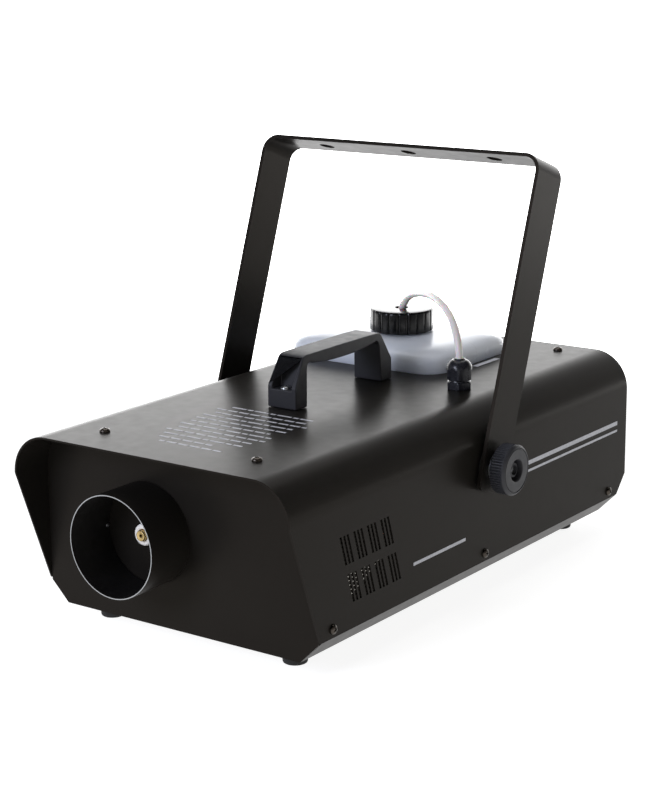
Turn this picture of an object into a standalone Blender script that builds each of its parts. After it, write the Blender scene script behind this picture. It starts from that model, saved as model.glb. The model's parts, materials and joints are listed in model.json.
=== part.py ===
"""Fog machine: hooded sheet-metal housing, heater and pump inside, tank, handle and hanging yoke."""
import math

import bmesh
import bpy
from mathutils import Vector

# Sizes in metres. Everything hangs from one empty whose origin is the middle of the front panel's
# bottom edge: x to the right, y from the front panel to the back, z up from the tray's underside.
HALF_W = 0.130          # housing half width
TOP_Z = 0.1425          # cover's top face
SHEET = 0.0015          # sheet thickness
GAP = 0.0003            # space between touching pieces
CORNER_R = 0.032        # cover's rounded top corners
WALL_Z = 0.0178         # cover's lower edge, where the tray's bevel starts
BEVEL = 0.018           # width and height of the tray's bevel
HOOD_Y = -0.034         # hood's front edge
BACK_Y = 0.462          # cover's rear edge
REAR_Y = 0.4463         # rear panel's inside face
REAR_CUT_Z = 0.034      # where the cover's rear lower corner is cut off
REAR_CUT_Y = 0.015
FOOT_H = 0.0125
FOOT_X, FOOT_YS = 0.0887, (0.0254, 0.4206)

TUBE_X, TUBE_Z = -0.027, 0.0722
TUBE_R, TUBE_WALL, TUBE_L = 0.0397, 0.0012, 0.0432

PIVOT_Y, PIVOT_Z = 0.228, 0.0955
YOKE_LEAN = math.radians(19.45)
YOKE_HALF_W, YOKE_T, YOKE_STRIP = 0.1363, 0.003, 0.0386
YOKE_TOP, YOKE_END, YOKE_BEND = 0.2473, -0.0205, 0.0144
YOKE_HOLES, YOKE_HOLE_R = (-0.083, 0.0, 0.083), 0.0065

# The tank's lower body keeps clear of the tray's bevel and the sockets; its top spreads to the left and back.
TANK_LOW = (-0.03385, 0.3499, 0.07015, 0.0551)      # middle x, middle y, half width, half depth
TANK_TOP = (-0.04235, 0.3594, 0.07865, 0.0646)
TANK_FLOOR_Z, TANK_WALL, NECK_R = 0.0045, 0.0022, 0.0215
CAP_X, CAP_Y = -0.0418, 0.3625
CAP_Z0, CAP_Z1, CAP_R, CAP_HOLE_R = 0.1618, 0.1814, 0.0280, 0.0056
HOSE_R = 0.0030
GLAND_X, GLAND_Y = 0.0760, 0.2698
PUMP_X, PUMP_Z = 0.062, 0.042

HANDLE_X, HANDLE_Y0, HANDLE_Y1 = -0.0032, 0.1345, 0.2687
HANDLE_H, HANDLE_HALF, HANDLE_TOP_HALF = 0.0410, 0.0138, 0.0120
HANDLE_SCREW_YS = (0.1402, 0.2630)

SLOT_W, SLOT_H, SLOT_PITCH, SLOT_GROUP, SLOT_SLANT = 0.0024, 0.0225, 0.0044, 0.0171, 0.313
SLOT_ROWS = (0.0790, 0.0488)        # middle height of each row
SLOT_Y, SLOT_REF_Z = 0.0254, 0.0902  # first slot's place at that height

COVER_SCREWS = ((-0.0722, 0.0050, "front_left"), (0.0722, 0.0050, "front_right"),
                (-0.0722, 0.4400, "rear_left"), (0.0722, 0.4400, "rear_right"))
REAR_ITEM_Z = 0.0460
INLET_X, SWITCH_X, FUSE_X, SOCKET_X, LAMP_X = -0.0745, -0.0400, -0.0100, 0.0300, 0.0620

FINISHES = {        # base colour, metallic, roughness
    "powder_coat": ((0.022, 0.021, 0.020), 0.3, 0.42),
    "rubber": ((0.018, 0.018, 0.018), 0.0, 0.75),
    "moulding": ((0.028, 0.028, 0.030), 0.0, 0.45),
    "cap_plastic": ((0.012, 0.012, 0.012), 0.0, 0.15),
    "tank_plastic": ((0.80, 0.81, 0.83), 0.0, 0.40),
    "hose": ((0.82, 0.82, 0.80), 0.0, 0.30),
    "brass": ((0.60, 0.42, 0.16), 1.0, 0.35),
    "white_sleeve": ((0.85, 0.84, 0.82), 0.0, 0.60),
    "zinc": ((0.55, 0.55, 0.56), 1.0, 0.35),
    "alloy": ((0.60, 0.61, 0.62), 1.0, 0.45),
    "fibre": ((0.82, 0.80, 0.76), 0.0, 0.95),
    "copper": ((0.62, 0.32, 0.20), 1.0, 0.35),
    "board": ((0.03, 0.16, 0.07), 0.0, 0.50),
    "winding": ((0.42, 0.20, 0.10), 0.0, 0.45),
    "red_plastic": ((0.60, 0.06, 0.05), 0.0, 0.20),
}


def material(slot):
    mat = bpy.data.materials.get(slot)
    if mat is None:
        mat = bpy.data.materials.new(slot)
        mat.use_nodes = True
        colour, metallic, rough = FINISHES[slot]
        shader = mat.node_tree.nodes["Principled BSDF"]
        shader.inputs["Base Color"].default_value = (*colour, 1.0)
        shader.inputs["Metallic"].default_value = metallic
        shader.inputs["Roughness"].default_value = rough
    return mat


def add(name, slot, bm, at=(0, 0, 0), turn=(0, 0, 0), smooth=40):
    """Puts a finished bmesh into the scene as one named piece."""
    bmesh.ops.recalc_face_normals(bm, faces=bm.faces)
    if bm.calc_volume(signed=True) < 0:
        bmesh.ops.reverse_faces(bm, faces=bm.faces)
    mesh = bpy.data.meshes.new(name)
    bm.to_mesh(mesh)
    bm.free()
    mesh.materials.append(material(slot))
    mesh.shade_smooth()
    mesh.set_sharp_from_angle(angle=math.radians(smooth))
    return place(name, mesh, at, turn)


def place(name, mesh, at=(0, 0, 0), turn=(0, 0, 0)):
    obj = bpy.data.objects.new(name, mesh)
    bpy.context.scene.collection.objects.link(obj)
    obj.parent = bpy.data.objects["fog_machine"]
    obj.location = at
    obj.rotation_euler = turn
    return obj


def boolean(target, bm, operation="DIFFERENCE", own_frame=False):
    """Keeps a helper solid, hidden from the render, as a Boolean on the target."""
    tool = add("%s_%s" % (target.name, operation.lower()), "zinc", bm)
    tool.hide_render = True
    tool.display_type = "WIRE"
    if own_frame:
        tool.location, tool.rotation_euler = target.location, target.rotation_euler
    mod = target.modifiers.new(operation.lower(), "BOOLEAN")
    mod.operation, mod.solver, mod.object = operation, "EXACT", tool


def extrude(bm, outline, step):
    """Closed outline of 3D points, pushed along a vector."""
    face = bm.faces.new([bm.verts.new(p) for p in outline])
    grown = bmesh.ops.extrude_face_region(bm, geom=[face])["geom"]
    moved = [g for g in grown if isinstance(g, bmesh.types.BMVert)]
    bmesh.ops.translate(bm, verts=moved, vec=Vector(step))
    return bm


def box(lo, hi, bm=None):
    bm = bm or bmesh.new()
    cube = bmesh.ops.create_cube(bm, size=1.0)["verts"]
    lo, hi = Vector(lo), Vector(hi)
    bmesh.ops.scale(bm, verts=cube, vec=hi - lo)
    bmesh.ops.translate(bm, verts=cube, vec=(lo + hi) / 2)
    return bm


def drill(bm, centre, axis, half_length, r, steps=24):
    """Adds a round cutter through centre along x, y or z."""
    made = bmesh.ops.create_cone(bm, cap_ends=True, segments=steps, radius1=r, radius2=r, depth=2 * half_length)
    turn = {"x": (0, 1, 0), "y": (1, 0, 0)}.get(axis)
    if turn:
        axis_turn = Vector((0, 0, 1)).rotation_difference(Vector((1, 0, 0) if axis == "x" else (0, 1, 0)))
        bmesh.ops.rotate(bm, verts=made["verts"], matrix=axis_turn.to_matrix(), cent=(0, 0, 0))
    bmesh.ops.translate(bm, verts=made["verts"], vec=Vector(centre))
    return bm


def turned(profile, steps=32, ring=True, shape=None):
    """Spins (radius, height) points about z. A ring's profile closes on itself, a plug's ends are capped.
    shape(angle, radius, height) may give a new radius."""
    bm = bmesh.new()
    pts = [bm.verts.new((r, 0, h)) for r, h in profile]
    edges = [bm.edges.new(pair) for pair in zip(pts, pts[1:])]
    if ring:
        edges.append(bm.edges.new((pts[-1], pts[0])))
    bmesh.ops.spin(bm, geom=pts + edges, cent=(0, 0, 0), axis=(0, 0, 1), dvec=(0, 0, 0),
                   angle=2 * math.pi, steps=steps, use_merge=True)
    if not ring:
        bmesh.ops.holes_fill(bm, edges=[e for e in bm.edges if e.is_boundary], sides=0)
    if shape:
        for v in bm.verts:
            r = math.hypot(v.co.x, v.co.y)
            scale = shape(math.atan2(v.co.y, v.co.x), r, v.co.z) / r
            v.co.x, v.co.y = v.co.x * scale, v.co.y * scale
    return bm


def washer(r_out, r_in, h0, h1):
    return [(r_in, h0), (r_out, h0), (r_out, h1), (r_in, h1)]


def six_sided(across, beyond):
    """Radius rule that turns a round outside, wherever it is wider than beyond, into a hexagon."""
    def rule(angle, r, h):
        if r <= beyond:
            return r
        return across / 2 / math.cos(angle % (math.pi / 3) - math.pi / 6)
    return rule


def loft(rings, closed_ring=False):
    """A skin over rings with equal point counts, capped, or joined end to start."""
    bm = bmesh.new()
    rows = [[bm.verts.new(p) for p in ring] for ring in rings]
    if closed_ring:
        rows.append(rows[0])
    for a, b in zip(rows, rows[1:]):
        for i in range(len(a)):
            j = (i + 1) % len(a)
            bm.faces.new((a[i], a[j], b[j], b[i]))
    if not closed_ring:
        bm.faces.new(list(reversed(rows[0])))
        bm.faces.new(rows[-1])
    return bm


def round_rect(hx, hy, r, cx, cy, k=4):
    pts = []
    for sx, sy, start in ((1, 1, 0), (-1, 1, 90), (-1, -1, 180), (1, -1, 270)):
        for i in range(k + 1):
            a = math.radians(start + 90 * i / k)
            pts.append((cx + sx * (hx - r) + r * math.cos(a), cy + sy * (hy - r) + r * math.sin(a)))
    return pts


def sleeve(outer, inner, y0, y1):
    """Open-ended duct along y between two outlines."""
    return loft([[(x, y0, z) for x, z in inner], [(x, y0, z) for x, z in outer],
                 [(x, y1, z) for x, z in outer], [(x, y1, z) for x, z in inner]], closed_ring=True)


def curve_through(points, spacing):
    """Even steps along a smooth curve through the given points."""
    pts = [Vector(p) for p in points]
    ends = [2 * pts[0] - pts[1]] + pts + [2 * pts[-1] - pts[-2]]
    fine = []
    for p0, p1, p2, p3 in zip(ends, ends[1:], ends[2:], ends[3:]):
        for j in range(24):
            t = j / 24
            fine.append(0.5 * (2 * p1 + (p2 - p0) * t + (2 * p0 - 5 * p1 + 4 * p2 - p3) * t * t
                               + (3 * p1 - p0 - 3 * p2 + p3) * t ** 3))
    fine.append(pts[-1])
    run = [0.0]
    for a, b in zip(fine, fine[1:]):
        run.append(run[-1] + (b - a).length)
    count = round(run[-1] / spacing)
    out, k = [], 0
    for i in range(count + 1):
        want = run[-1] * i / count
        while k < len(fine) - 2 and run[k + 1] < want:
            k += 1
        t = (want - run[k]) / (run[k + 1] - run[k])
        out.append(fine[k].lerp(fine[k + 1], t))
    return out


def pipe(name, slot, points, r, spacing, resolution=2):
    curve = bpy.data.curves.new(name, "CURVE")
    curve.dimensions = "3D"
    curve.bevel_depth = r
    curve.bevel_resolution = resolution
    curve.render_resolution_u = 0
    curve.use_fill_caps = True
    spline = curve.splines.new("POLY")
    path = curve_through(points, spacing)
    spline.points.add(len(path) - 1)
    for point, co in zip(spline.points, path):
        point.co = (*co, 1.0)
    curve.materials.append(material(slot))
    return place(name, curve)


def cover_section(inset):
    """The cover's inverted-U line seen from the front, moved inwards by inset."""
    hw, top, r = HALF_W - inset, TOP_Z - inset, CORNER_R - inset
    left = [(-hw, WALL_Z), (-hw, REAR_CUT_Z)]
    left += [(-hw + r - r * math.cos(a), top - r + r * math.sin(a))
             for a in [math.radians(90 * i / 8) for i in range(9)]]
    return left + [(-x, z) for x, z in reversed(left)]


def front_edge(z):
    knee = TOP_Z - CORNER_R
    return HOOD_Y if z >= knee else HOOD_Y * (z - WALL_Z) / (knee - WALL_Z)


def back_edge(z):
    return BACK_Y - REAR_CUT_Y * max(0.0, (REAR_CUT_Z - z) / (REAR_CUT_Z - WALL_Z))


def top_cover():
    outer, inner = cover_section(0.0), cover_section(SHEET)
    bm = bmesh.new()
    rows = []
    for line, edge in ((outer, front_edge), (outer, back_edge), (inner, back_edge), (inner, front_edge)):
        rows.append([bm.verts.new((x, edge(o[1]), z)) for (x, z), o in zip(line, outer)])
    for a, b in zip(rows, rows[1:] + rows[:1]):
        for i in range(len(a) - 1):
            bm.faces.new((a[i], a[i + 1], b[i + 1], b[i]))
    bm.faces.new([row[0] for row in rows])
    bm.faces.new([row[-1] for row in reversed(rows)])
    cover = add("top_cover", "powder_coat", bm)

    cuts = bmesh.new()
    for side in (-1, 1):
        x = side * (HALF_W + 0.004)
        for row in SLOT_ROWS:
            z0, z1 = row - SLOT_H / 2, row + SLOT_H / 2
            for i in range(12):
                y = SLOT_Y + SLOT_GROUP * (i // 3) + SLOT_PITCH * (i % 3)
                y0, y1 = y + (SLOT_REF_Z - z0) * SLOT_SLANT, y + (SLOT_REF_Z - z1) * SLOT_SLANT
                h = SLOT_W / 2
                extrude(cuts, [(x, y0 - h, z0), (x, y0 + h, z0), (x, y1 + h, z1), (x, y1 - h, z1)],
                        (-side * 0.010, 0, 0))
        drill(cuts, (side * HALF_W, PIVOT_Y, PIVOT_Z), "x", 0.005, 0.0048, 20)
    mx, my, hx, hy = TANK_TOP               # the opening runs over the bend at the left
    opening = round_rect(hx + 0.0018, hy + 0.0018, 0.022, mx, my, 5)
    extrude(cuts, [(x, y, TOP_Z - 0.024) for x, y in opening], (0, 0, 0.030))
    drill(cuts, (GLAND_X, GLAND_Y, TOP_Z), "z", 0.005, 0.0081, 20)
    for y in HANDLE_SCREW_YS:
        drill(cuts, (HANDLE_X, y, TOP_Z), "z", 0.005, 0.0033, 16)
    bmesh.ops.recalc_face_normals(cuts, faces=cuts.faces)
    boolean(cover, cuts)


def base_tray():
    """Bevelled pan; its side flanges stand inside the cover's walls."""
    out, flange = HALF_W - 0.0002, HALF_W - SHEET - GAP
    half = [(HALF_W - BEVEL, 0.0), (out, WALL_Z - GAP), (flange, WALL_Z - GAP), (flange, 0.036),
            (flange - SHEET, 0.036), (flange - SHEET, WALL_Z - 2 * GAP), (HALF_W - BEVEL - 0.0006, SHEET)]
    outline = half + [(-x, z) for x, z in reversed(half)]
    y0, y1 = SHEET + GAP, REAR_Y - GAP
    tray = add("base_tray", "powder_coat", extrude(bmesh.new(), [(x, y0, z) for x, z in outline],
                                                   (0, y1 - y0, 0)))
    cuts = bmesh.new()
    for side in (-1, 1):
        for y in FOOT_YS:
            drill(cuts, (side * FOOT_X, y, 0.0), "z", 0.004, 0.0032, 16)
    for k in range(6):
        y = 0.200 + 0.009 * k
        box((0.030, y, -0.003), (0.095, y + 0.003, 0.004), cuts)
    boolean(tray, cuts)


def end_panel(name, y, fold):
    """Panel inside the cover's section, top edge folded inwards by the signed length fold."""
    hw, top, r = HALF_W - SHEET - GAP, TOP_Z - SHEET - GAP, CORNER_R - SHEET
    left = [(-(HALF_W - BEVEL), 0.0), (-hw, WALL_Z - 0.0017)]
    left += [(-hw + r - r * math.cos(a), top - r + r * math.sin(a))
             for a in [math.radians(90 * i / 8) for i in range(9)]]
    outline = left + [(-x, z) for x, z in reversed(left)]
    sheet = add(name, "powder_coat", extrude(bmesh.new(), [(x, y, z) for x, z in outline], (0, SHEET, 0)))
    middle = y + SHEET / 2
    lo, hi = sorted((middle, middle + fold))
    boolean(sheet, box((-0.090, lo, top - SHEET), (0.090, hi, top - 0.00005)), "UNION")
    return sheet


def front_end():
    front = end_panel("front_panel", 0.0, 0.013)
    boolean(front, drill(bmesh.new(), (TUBE_X, 0, TUBE_Z), "y", 0.006, 0.0125, 24))
    at, ahead = (TUBE_X, 0.0, TUBE_Z), (math.radians(90), 0, 0)
    bore = TUBE_R - TUBE_WALL
    add("guard_tube", "powder_coat", turned(washer(TUBE_R, bore, GAP, TUBE_L), 44), at, ahead)
    add("tube_disc", "powder_coat", turned(washer(bore - GAP, 0.0092, GAP, 0.0016), 32), at, ahead)
    add("nozzle_sleeve", "white_sleeve", turned([(0.0047, 0.0073), (0.0080, 0.0073), (0.0087, 0.0066),
                                                 (0.0087, -0.0180), (0.0047, -0.0180)], 20), at, ahead)
    add("nozzle", "brass", turned([(0.0009, 0.0092), (0.0018, 0.0100), (0.0036, 0.0100), (0.0043, 0.0093),
                                   (0.0043, -0.0255), (0.0030, -0.0255), (0.0030, -0.0350),
                                   (0.0009, -0.0350)], 16), at, ahead)
    for side, tag in ((-1, "left"), (1, "right")):
        x0, x1 = sorted((side * 0.1263, side * 0.1255))
        add("vent_guard_" + tag, "zinc", box((x0, 0.018, 0.0368), (x1, 0.112, 0.0950)))


def heater():
    cx, cz = TUBE_X, TUBE_Z
    core = add("heater_core", "alloy", extrude(bmesh.new(), [(x, 0.026, z) for x, z in
                                                             round_rect(0.032, 0.026, 0.006, cx, cz)],
                                               (0, 0.170, 0)))
    ports = drill(bmesh.new(), (cx, 0.026, cz), "y", 0.014, 0.0034, 16)
    drill(ports, (cx, 0.196, cz), "y", 0.009, 0.0029, 16)
    boolean(core, ports)
    add("heater_insulation", "fibre", sleeve(round_rect(0.041, 0.035, 0.008, cx, cz, 3),
                                             round_rect(0.0325, 0.0265, 0.0062, cx, cz, 3), 0.032, 0.190))
    add("heater_case", "zinc", sleeve(round_rect(0.0428, 0.0368, 0.009, cx, cz, 3),
                                      round_rect(0.0413, 0.0353, 0.0083, cx, cz, 3), 0.028, 0.194))
    top = cz - 0.0368 - GAP
    for y, tag in ((0.050, "front"), (0.160, "rear")):
        low = SHEET + GAP
        section = [(y, low), (y + 0.014, low), (y + 0.014, low + SHEET), (y + SHEET, low + SHEET),
                   (y + SHEET, top - SHEET), (y + 0.014, top - SHEET), (y + 0.014, top), (y, top)]
        add("heater_bracket_" + tag, "zinc", extrude(bmesh.new(), [(cx - 0.030, a, b) for a, b in section],
                                                     (0.060, 0, 0)))
    add("thermostat", "white_sleeve", turned([(0.0078, -0.1963), (0.0078, -0.2030), (0.0040, -0.2050)], 20,
                                             ring=False), (cx - 0.018, 0, cz), (math.radians(90), 0, 0))
    route = [(PUMP_X, 0.1820, PUMP_Z), (PUMP_X, 0.1760, PUMP_Z + 0.0010), (PUMP_X - 0.004, 0.1710, PUMP_Z + 0.0090),
             (PUMP_X - 0.012, 0.1760, PUMP_Z + 0.0240), (PUMP_X - 0.026, 0.1960, PUMP_Z + 0.0320),
             (PUMP_X - 0.050, 0.2130, PUMP_Z + 0.0325), (cx + 0.016, 0.2180, cz + 0.0010),
             (cx + 0.003, 0.2140, cz), (cx, 0.2040, cz), (cx, 0.1890, cz)]
    pipe("feed_pipe", "copper", route, 0.0025, 0.0060)


def pump():
    at, ahead = (PUMP_X, 0.0, PUMP_Z), (math.radians(90), 0, 0)
    body = [(0.0030, 0.1823), (0.0045, 0.1823), (0.0045, 0.1930), (0.0110, 0.1945), (0.0110, 0.2460),
            (0.0060, 0.2475), (0.0060, 0.2500), (0.0045, 0.2520), (0.0045, 0.2560), (0.0019, 0.2560),
            (0.0019, 0.2480), (0.0050, 0.2420), (0.0050, 0.1990), (0.0030, 0.1960)]
    add("pump_body", "moulding", turned([(r, -y) for r, y in body], 16), at, ahead)
    add("pump_piston", "zinc", turned([(r, -y) for r, y in washer(0.0047, 0.0015, 0.0, 0.0300)], 16),
        (PUMP_X, 0.2060, PUMP_Z), ahead)

    def square(angle, r, h):
        power = 8
        return r if r < 0.015 else r / (abs(math.cos(angle)) ** power + abs(math.sin(angle)) ** power) ** (1 / power)
    add("pump_coil", "winding", turned([(r, -y) for r, y in washer(0.0180, 0.0116, 0.2020, 0.2360)], 24,
                                       shape=square), at, ahead)
    low = SHEET + GAP
    section = [(0.2400, low), (0.2560, low), (0.2560, low + SHEET), (0.2415, low + SHEET),
               (0.2415, 0.0640), (0.2400, 0.0640)]
    bracket = add("pump_bracket", "zinc", extrude(bmesh.new(), [(PUMP_X - 0.018, a, b) for a, b in section],
                                                  (0.036, 0, 0)))
    boolean(bracket, drill(bmesh.new(), (PUMP_X, 0.2408, PUMP_Z), "y", 0.004, 0.0113, 24))


def electronics():
    add("control_board", "board", box((0.040, 0.020, 0.0120), (0.112, 0.118, 0.0136)))
    add("transformer", "winding", box((0.058, 0.124, 0.0018), (0.106, 0.162, 0.0400)))


def tank_loop(z, middle_x, middle_y, hx, hy, power, count=36):
    """Rounded outline at height z: power 2 is a circle, 7 is nearly a rectangle."""
    ring = []
    for k in range(count):
        c, s = math.cos(2 * math.pi * (k + 0.5) / count), math.sin(2 * math.pi * (k + 0.5) / count)
        ring.append((middle_x - CAP_X + hx * math.copysign(abs(c) ** (2 / power), c),
                     middle_y - CAP_Y + hy * math.copysign(abs(s) ** (2 / power), s), z))
    return ring


def tank():
    """Blown tank, open at the neck, with its outside and inside skins joined at the mouth."""
    z0, w = TANK_FLOOR_Z, TANK_WALL
    low, top = TANK_LOW, TANK_TOP
    shell = [(z0, low, -0.0100, 5.0), (z0 + 0.003, low, -0.0030, 6.0), (z0 + 0.010, low, 0.0, 7.0),
             (0.1000, low, 0.0, 7.0), (0.1220, top, -0.0003, 7.0), (0.1490, top, 0.0, 7.0),
             (0.1530, top, -0.0010, 6.6), (0.1558, top, -0.0036, 6.0), (0.1580, top, -0.0085, 5.4),
             (0.1597, top, -0.0165, 4.8), (0.1607, top, -0.0280, 4.2)]
    lining = [(0.1585, top, -0.0290, 4.2), (0.1575, top, -0.0180, 4.8), (0.1560, top, -0.0103, 5.4),
              (0.1540, top, -0.0060, 6.0), (0.1515, top, -0.0034, 6.6), (0.1480, top, -w, 7.0),
              (0.1228, top, -0.0025, 7.0), (0.1012, low, -w, 7.0), (z0 + 0.011, low, -w, 7.0),
              (z0 + 0.005, low, -0.0050, 6.0), (z0 + w, low, -0.0115, 5.0)]

    def skin(rows):
        return [tank_loop(z, part[0], part[1], part[2] + d, part[3] + d, p) for z, part, d, p in rows]
    rings = skin(shell)
    rings += [tank_loop(z, CAP_X, CAP_Y, r, r, 2.0) for z, r in
              ((0.1612, 0.0290), (0.1613, 0.0245), (0.1614, NECK_R), (CAP_Z1 - 0.0038, NECK_R),
               (CAP_Z1 - 0.0038, NECK_R - 0.0025), (0.1600, NECK_R - 0.0025), (0.1590, 0.0225))]
    rings += skin(lining)
    at = (CAP_X, CAP_Y, 0.0)
    add("tank", "tank_plastic", loft(rings), at, smooth=60)

    def flutes(angle, r, h):
        return r - 0.0009 if r > 0.0270 and round(angle / (2 * math.pi) * 48) % 3 == 0 else r
    cap = [(0.0220, CAP_Z0), (0.0270, CAP_Z0), (CAP_R, CAP_Z0 + 0.001), (CAP_R, CAP_Z1 - 0.0012),
           (CAP_R - 0.0014, CAP_Z1), (CAP_HOLE_R, CAP_Z1), (CAP_HOLE_R, CAP_Z1 - 0.0024),
           (0.0220, CAP_Z1 - 0.0024)]
    add("tank_cap", "cap_plastic", turned(cap, 48, shape=flutes), at, smooth=25)
    add("cap_seal", "rubber", turned(washer(0.0212, 0.0062, CAP_Z1 - 0.0036, CAP_Z1 - 0.0027), 24), at)
    foot = (CAP_X - 0.0025, CAP_Y + 0.0020, 0.0)
    add("suction_filter", "brass", turned(washer(0.0065, HOSE_R + GAP, 0.0180, 0.0340), 16), foot)

    mx, my, hx, hy = TANK_LOW
    wall, hx, hy = 0.0012, hx + 0.0035, hy + 0.0035
    outer = round_rect(hx, hy, 0.0100, mx, my, 3)
    inner = round_rect(hx - wall, hy - wall, 0.0088, mx, my, 3)
    floor, top = SHEET + GAP, 0.0960
    add("tank_well", "zinc", loft([[(x, y, z) for x, y in line] for line, z in
                                   ((outer, floor), (outer, top), (inner, top), (inner, floor + wall))]))


def fluid_line():
    """One hose: tank bottom, up through the cap, over to the gland, down and round to the pump."""
    span = Vector((GLAND_X - CAP_X, GLAND_Y - CAP_Y, 0.0))
    along = span.normalized()
    aside = Vector((-along.y, along.x, 0.0))
    arch = [(-0.0032, 0.0, 0.0200), (-0.0032, 0.0, 0.0650), (-0.0032, 0.0, 0.1100), (-0.0032, 0.0, 0.1500),
            (-0.0032, 0.0, 0.1660), (-0.0022, 0.0, 0.1745), (0.0006, 0.0002, 0.1812), (0.0046, 0.0012, 0.1866),
            (0.0105, 0.0020, 0.1914), (0.0200, 0.0022, 0.1957), (0.0330, 0.0017, 0.1994),
            (0.0480, 0.0006, 0.2026), (0.0650, 0.0, 0.2052), (0.0820, 0.0, 0.2062), (0.0980, 0.0, 0.2052),
            (0.1126, 0.0, 0.2028), (0.1234, 0.0, 0.1993), (0.1327, 0.0, 0.1947), (0.1395, 0.0, 0.1890),
            (0.1446, 0.0, 0.1828), (0.1480, 0.0, 0.1761), (0.1496, 0.0, 0.1700), (span.length, 0.0, 0.1640)]
    start = Vector((CAP_X, CAP_Y, 0.0))
    route = [tuple(start + s * along + t * aside + Vector((0, 0, z))) for s, t, z in arch]
    route += [(GLAND_X, GLAND_Y, 0.1480), (GLAND_X, GLAND_Y, 0.1200),
              (GLAND_X, GLAND_Y, 0.0900), (GLAND_X - 0.002, GLAND_Y + 0.0020, 0.0680),
              (GLAND_X - 0.008, GLAND_Y + 0.0050, 0.0500), (PUMP_X + 0.0010, 0.2700, PUMP_Z + 0.0005),
              (PUMP_X, 0.2630, PUMP_Z), (PUMP_X, 0.2563, PUMP_Z)]
    pipe("fluid_hose", "hose", route, HOSE_R, 0.0085)

    at = (GLAND_X, GLAND_Y, TOP_Z)
    bore = HOSE_R + 0.0004

    def flats(angle, r, h):
        return 0.0094 / math.cos(angle % (math.pi / 3) - math.pi / 6) if r > 0.0090 else r
    add("gland_body", "moulding", turned([(bore, -0.0120), (0.0074, -0.0120), (0.0074, 0.0003), (0.0082, 0.0003),
                                          (0.0094, 0.0005), (0.0094, 0.0060), (0.0078, 0.0064),
                                          (0.0078, 0.0078), (bore, 0.0078)], 24, shape=flats), at, smooth=30)

    def dome(angle, r, h):
        return min(r, 0.0098 / math.cos(angle % (math.pi / 3) - math.pi / 6)) if h < 0.018 else r
    add("gland_nut", "moulding", turned([(bore, 0.0082), (0.0105, 0.0082), (0.0112, 0.0090), (0.0112, 0.0165),
                                         (0.0096, 0.0205), (0.0072, 0.0238), (0.0052, 0.0248),
                                         (bore, 0.0248)], 24, shape=dome), at, smooth=30)


def handle_half(z):
    """Half width of the handle: full at the feet, narrower along the grip."""
    t = min(1.0, max(0.0, (z - 0.017) / (HANDLE_H - 0.019)))
    return HANDLE_HALF + (HANDLE_TOP_HALF - HANDLE_HALF) * t


def carry_handle():
    h = HANDLE_H
    half = (HANDLE_Y1 - HANDLE_Y0) / 2
    rise = [(-half, 0.0), (-half, 0.0175), (-half + 0.0122, h - 0.0024), (-half + 0.0140, h - 0.0007),
            (-half + 0.0175, h), (-half * 0.5, h + 0.0002)]
    under = [(-half * 0.38, h - 0.0094), (-half * 0.62, h - 0.0075), (-half + 0.0195, h - 0.0068),
             (-half + 0.0178, h - 0.0085), (-half + 0.0170, h - 0.0115), (-half + 0.0155, 0.0)]
    outline = (rise + [(0.0, h + 0.0003)] + [(-a, b) for a, b in reversed(rise)]
               + [(-a, b) for a, b in reversed(under)] + [(0.0, h - 0.0101)] + under)
    bm = loft([[(side * handle_half(b), a, b) for a, b in outline] for side in (-1, 1)])
    at = (HANDLE_X, (HANDLE_Y0 + HANDLE_Y1) / 2, TOP_Z + GAP)
    handle = add("carry_handle", "moulding", bm, at)
    cuts = bmesh.new()
    for sign in (-1, 1):
        pocket = [(0.002, 0.0150), (-0.0115, 0.0150), (-0.0152, h - 0.0027), (0.002, h - 0.0027)]
        extrude(cuts, [(HANDLE_X - 0.0098, at[1] + sign * (half + a), at[2] + b) for a, b in pocket],
                (0.0196, 0, 0))
    boolean(handle, cuts)
    bores = bmesh.new()
    for y in HANDLE_SCREW_YS:
        drill(bores, (HANDLE_X, y, at[2] + 0.008), "z", 0.010, 0.0030, 16)
    boolean(handle, bores)
    screw = [(0.0025, -0.0100), (0.0025, 0.0156), (0.0048, 0.0156), (0.0044, 0.0178), (0.0026, 0.0190)]
    for y, tag in zip(HANDLE_SCREW_YS, ("front", "rear")):
        add("handle_screw_" + tag, "zinc", turned(screw, 16, ring=False), (HANDLE_X, y, TOP_Z))


def yoke():
    """Bent strip, modelled upright round its pivot and leaned back by its rotation."""
    hw, top, r, t, s = YOKE_HALF_W, YOKE_TOP, YOKE_BEND, YOKE_T, YOKE_STRIP / 2

    def bent(radius, offset):
        left = [(-hw + offset, 0.0)]
        left += [(-hw + r - radius * math.cos(a), top - r + radius * math.sin(a))
                 for a in [math.radians(15 * i) for i in range(7)]]
        return left + [(-x, z) for x, z in reversed(left)]
    corner = 0.007
    end = [(YOKE_END + corner - corner * math.sin(q), s - corner + corner * math.cos(q))
           for q in [math.radians(18 * i) for i in range(6)]]
    rings = [[(-hw, -w, z), (-hw, w, z), (-hw + t, w, z), (-hw + t, -w, z)] for z, w in reversed(end)]
    for (xo, zo), (xi, zi) in zip(bent(r, 0.0), bent(r - t, t)):
        rings.append([(xo, -s, zo), (xo, s, zo), (xi, s, zi), (xi, -s, zi)])
    rings += [[(hw, -w, z), (hw, w, z), (hw - t, w, z), (hw - t, -w, z)] for z, w in end]
    strip = add("yoke", "powder_coat", loft(rings), (0, PIVOT_Y, PIVOT_Z), (-YOKE_LEAN, 0, 0))
    cuts = bmesh.new()
    for x in YOKE_HOLES:
        drill(cuts, (x, 0, top), "z", 0.008, YOKE_HOLE_R, 24)
    for side in (-1, 1):
        drill(cuts, (side * hw, 0, 0), "x", 0.008, 0.0044, 20)
    boolean(strip, cuts, own_frame=True)


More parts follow.
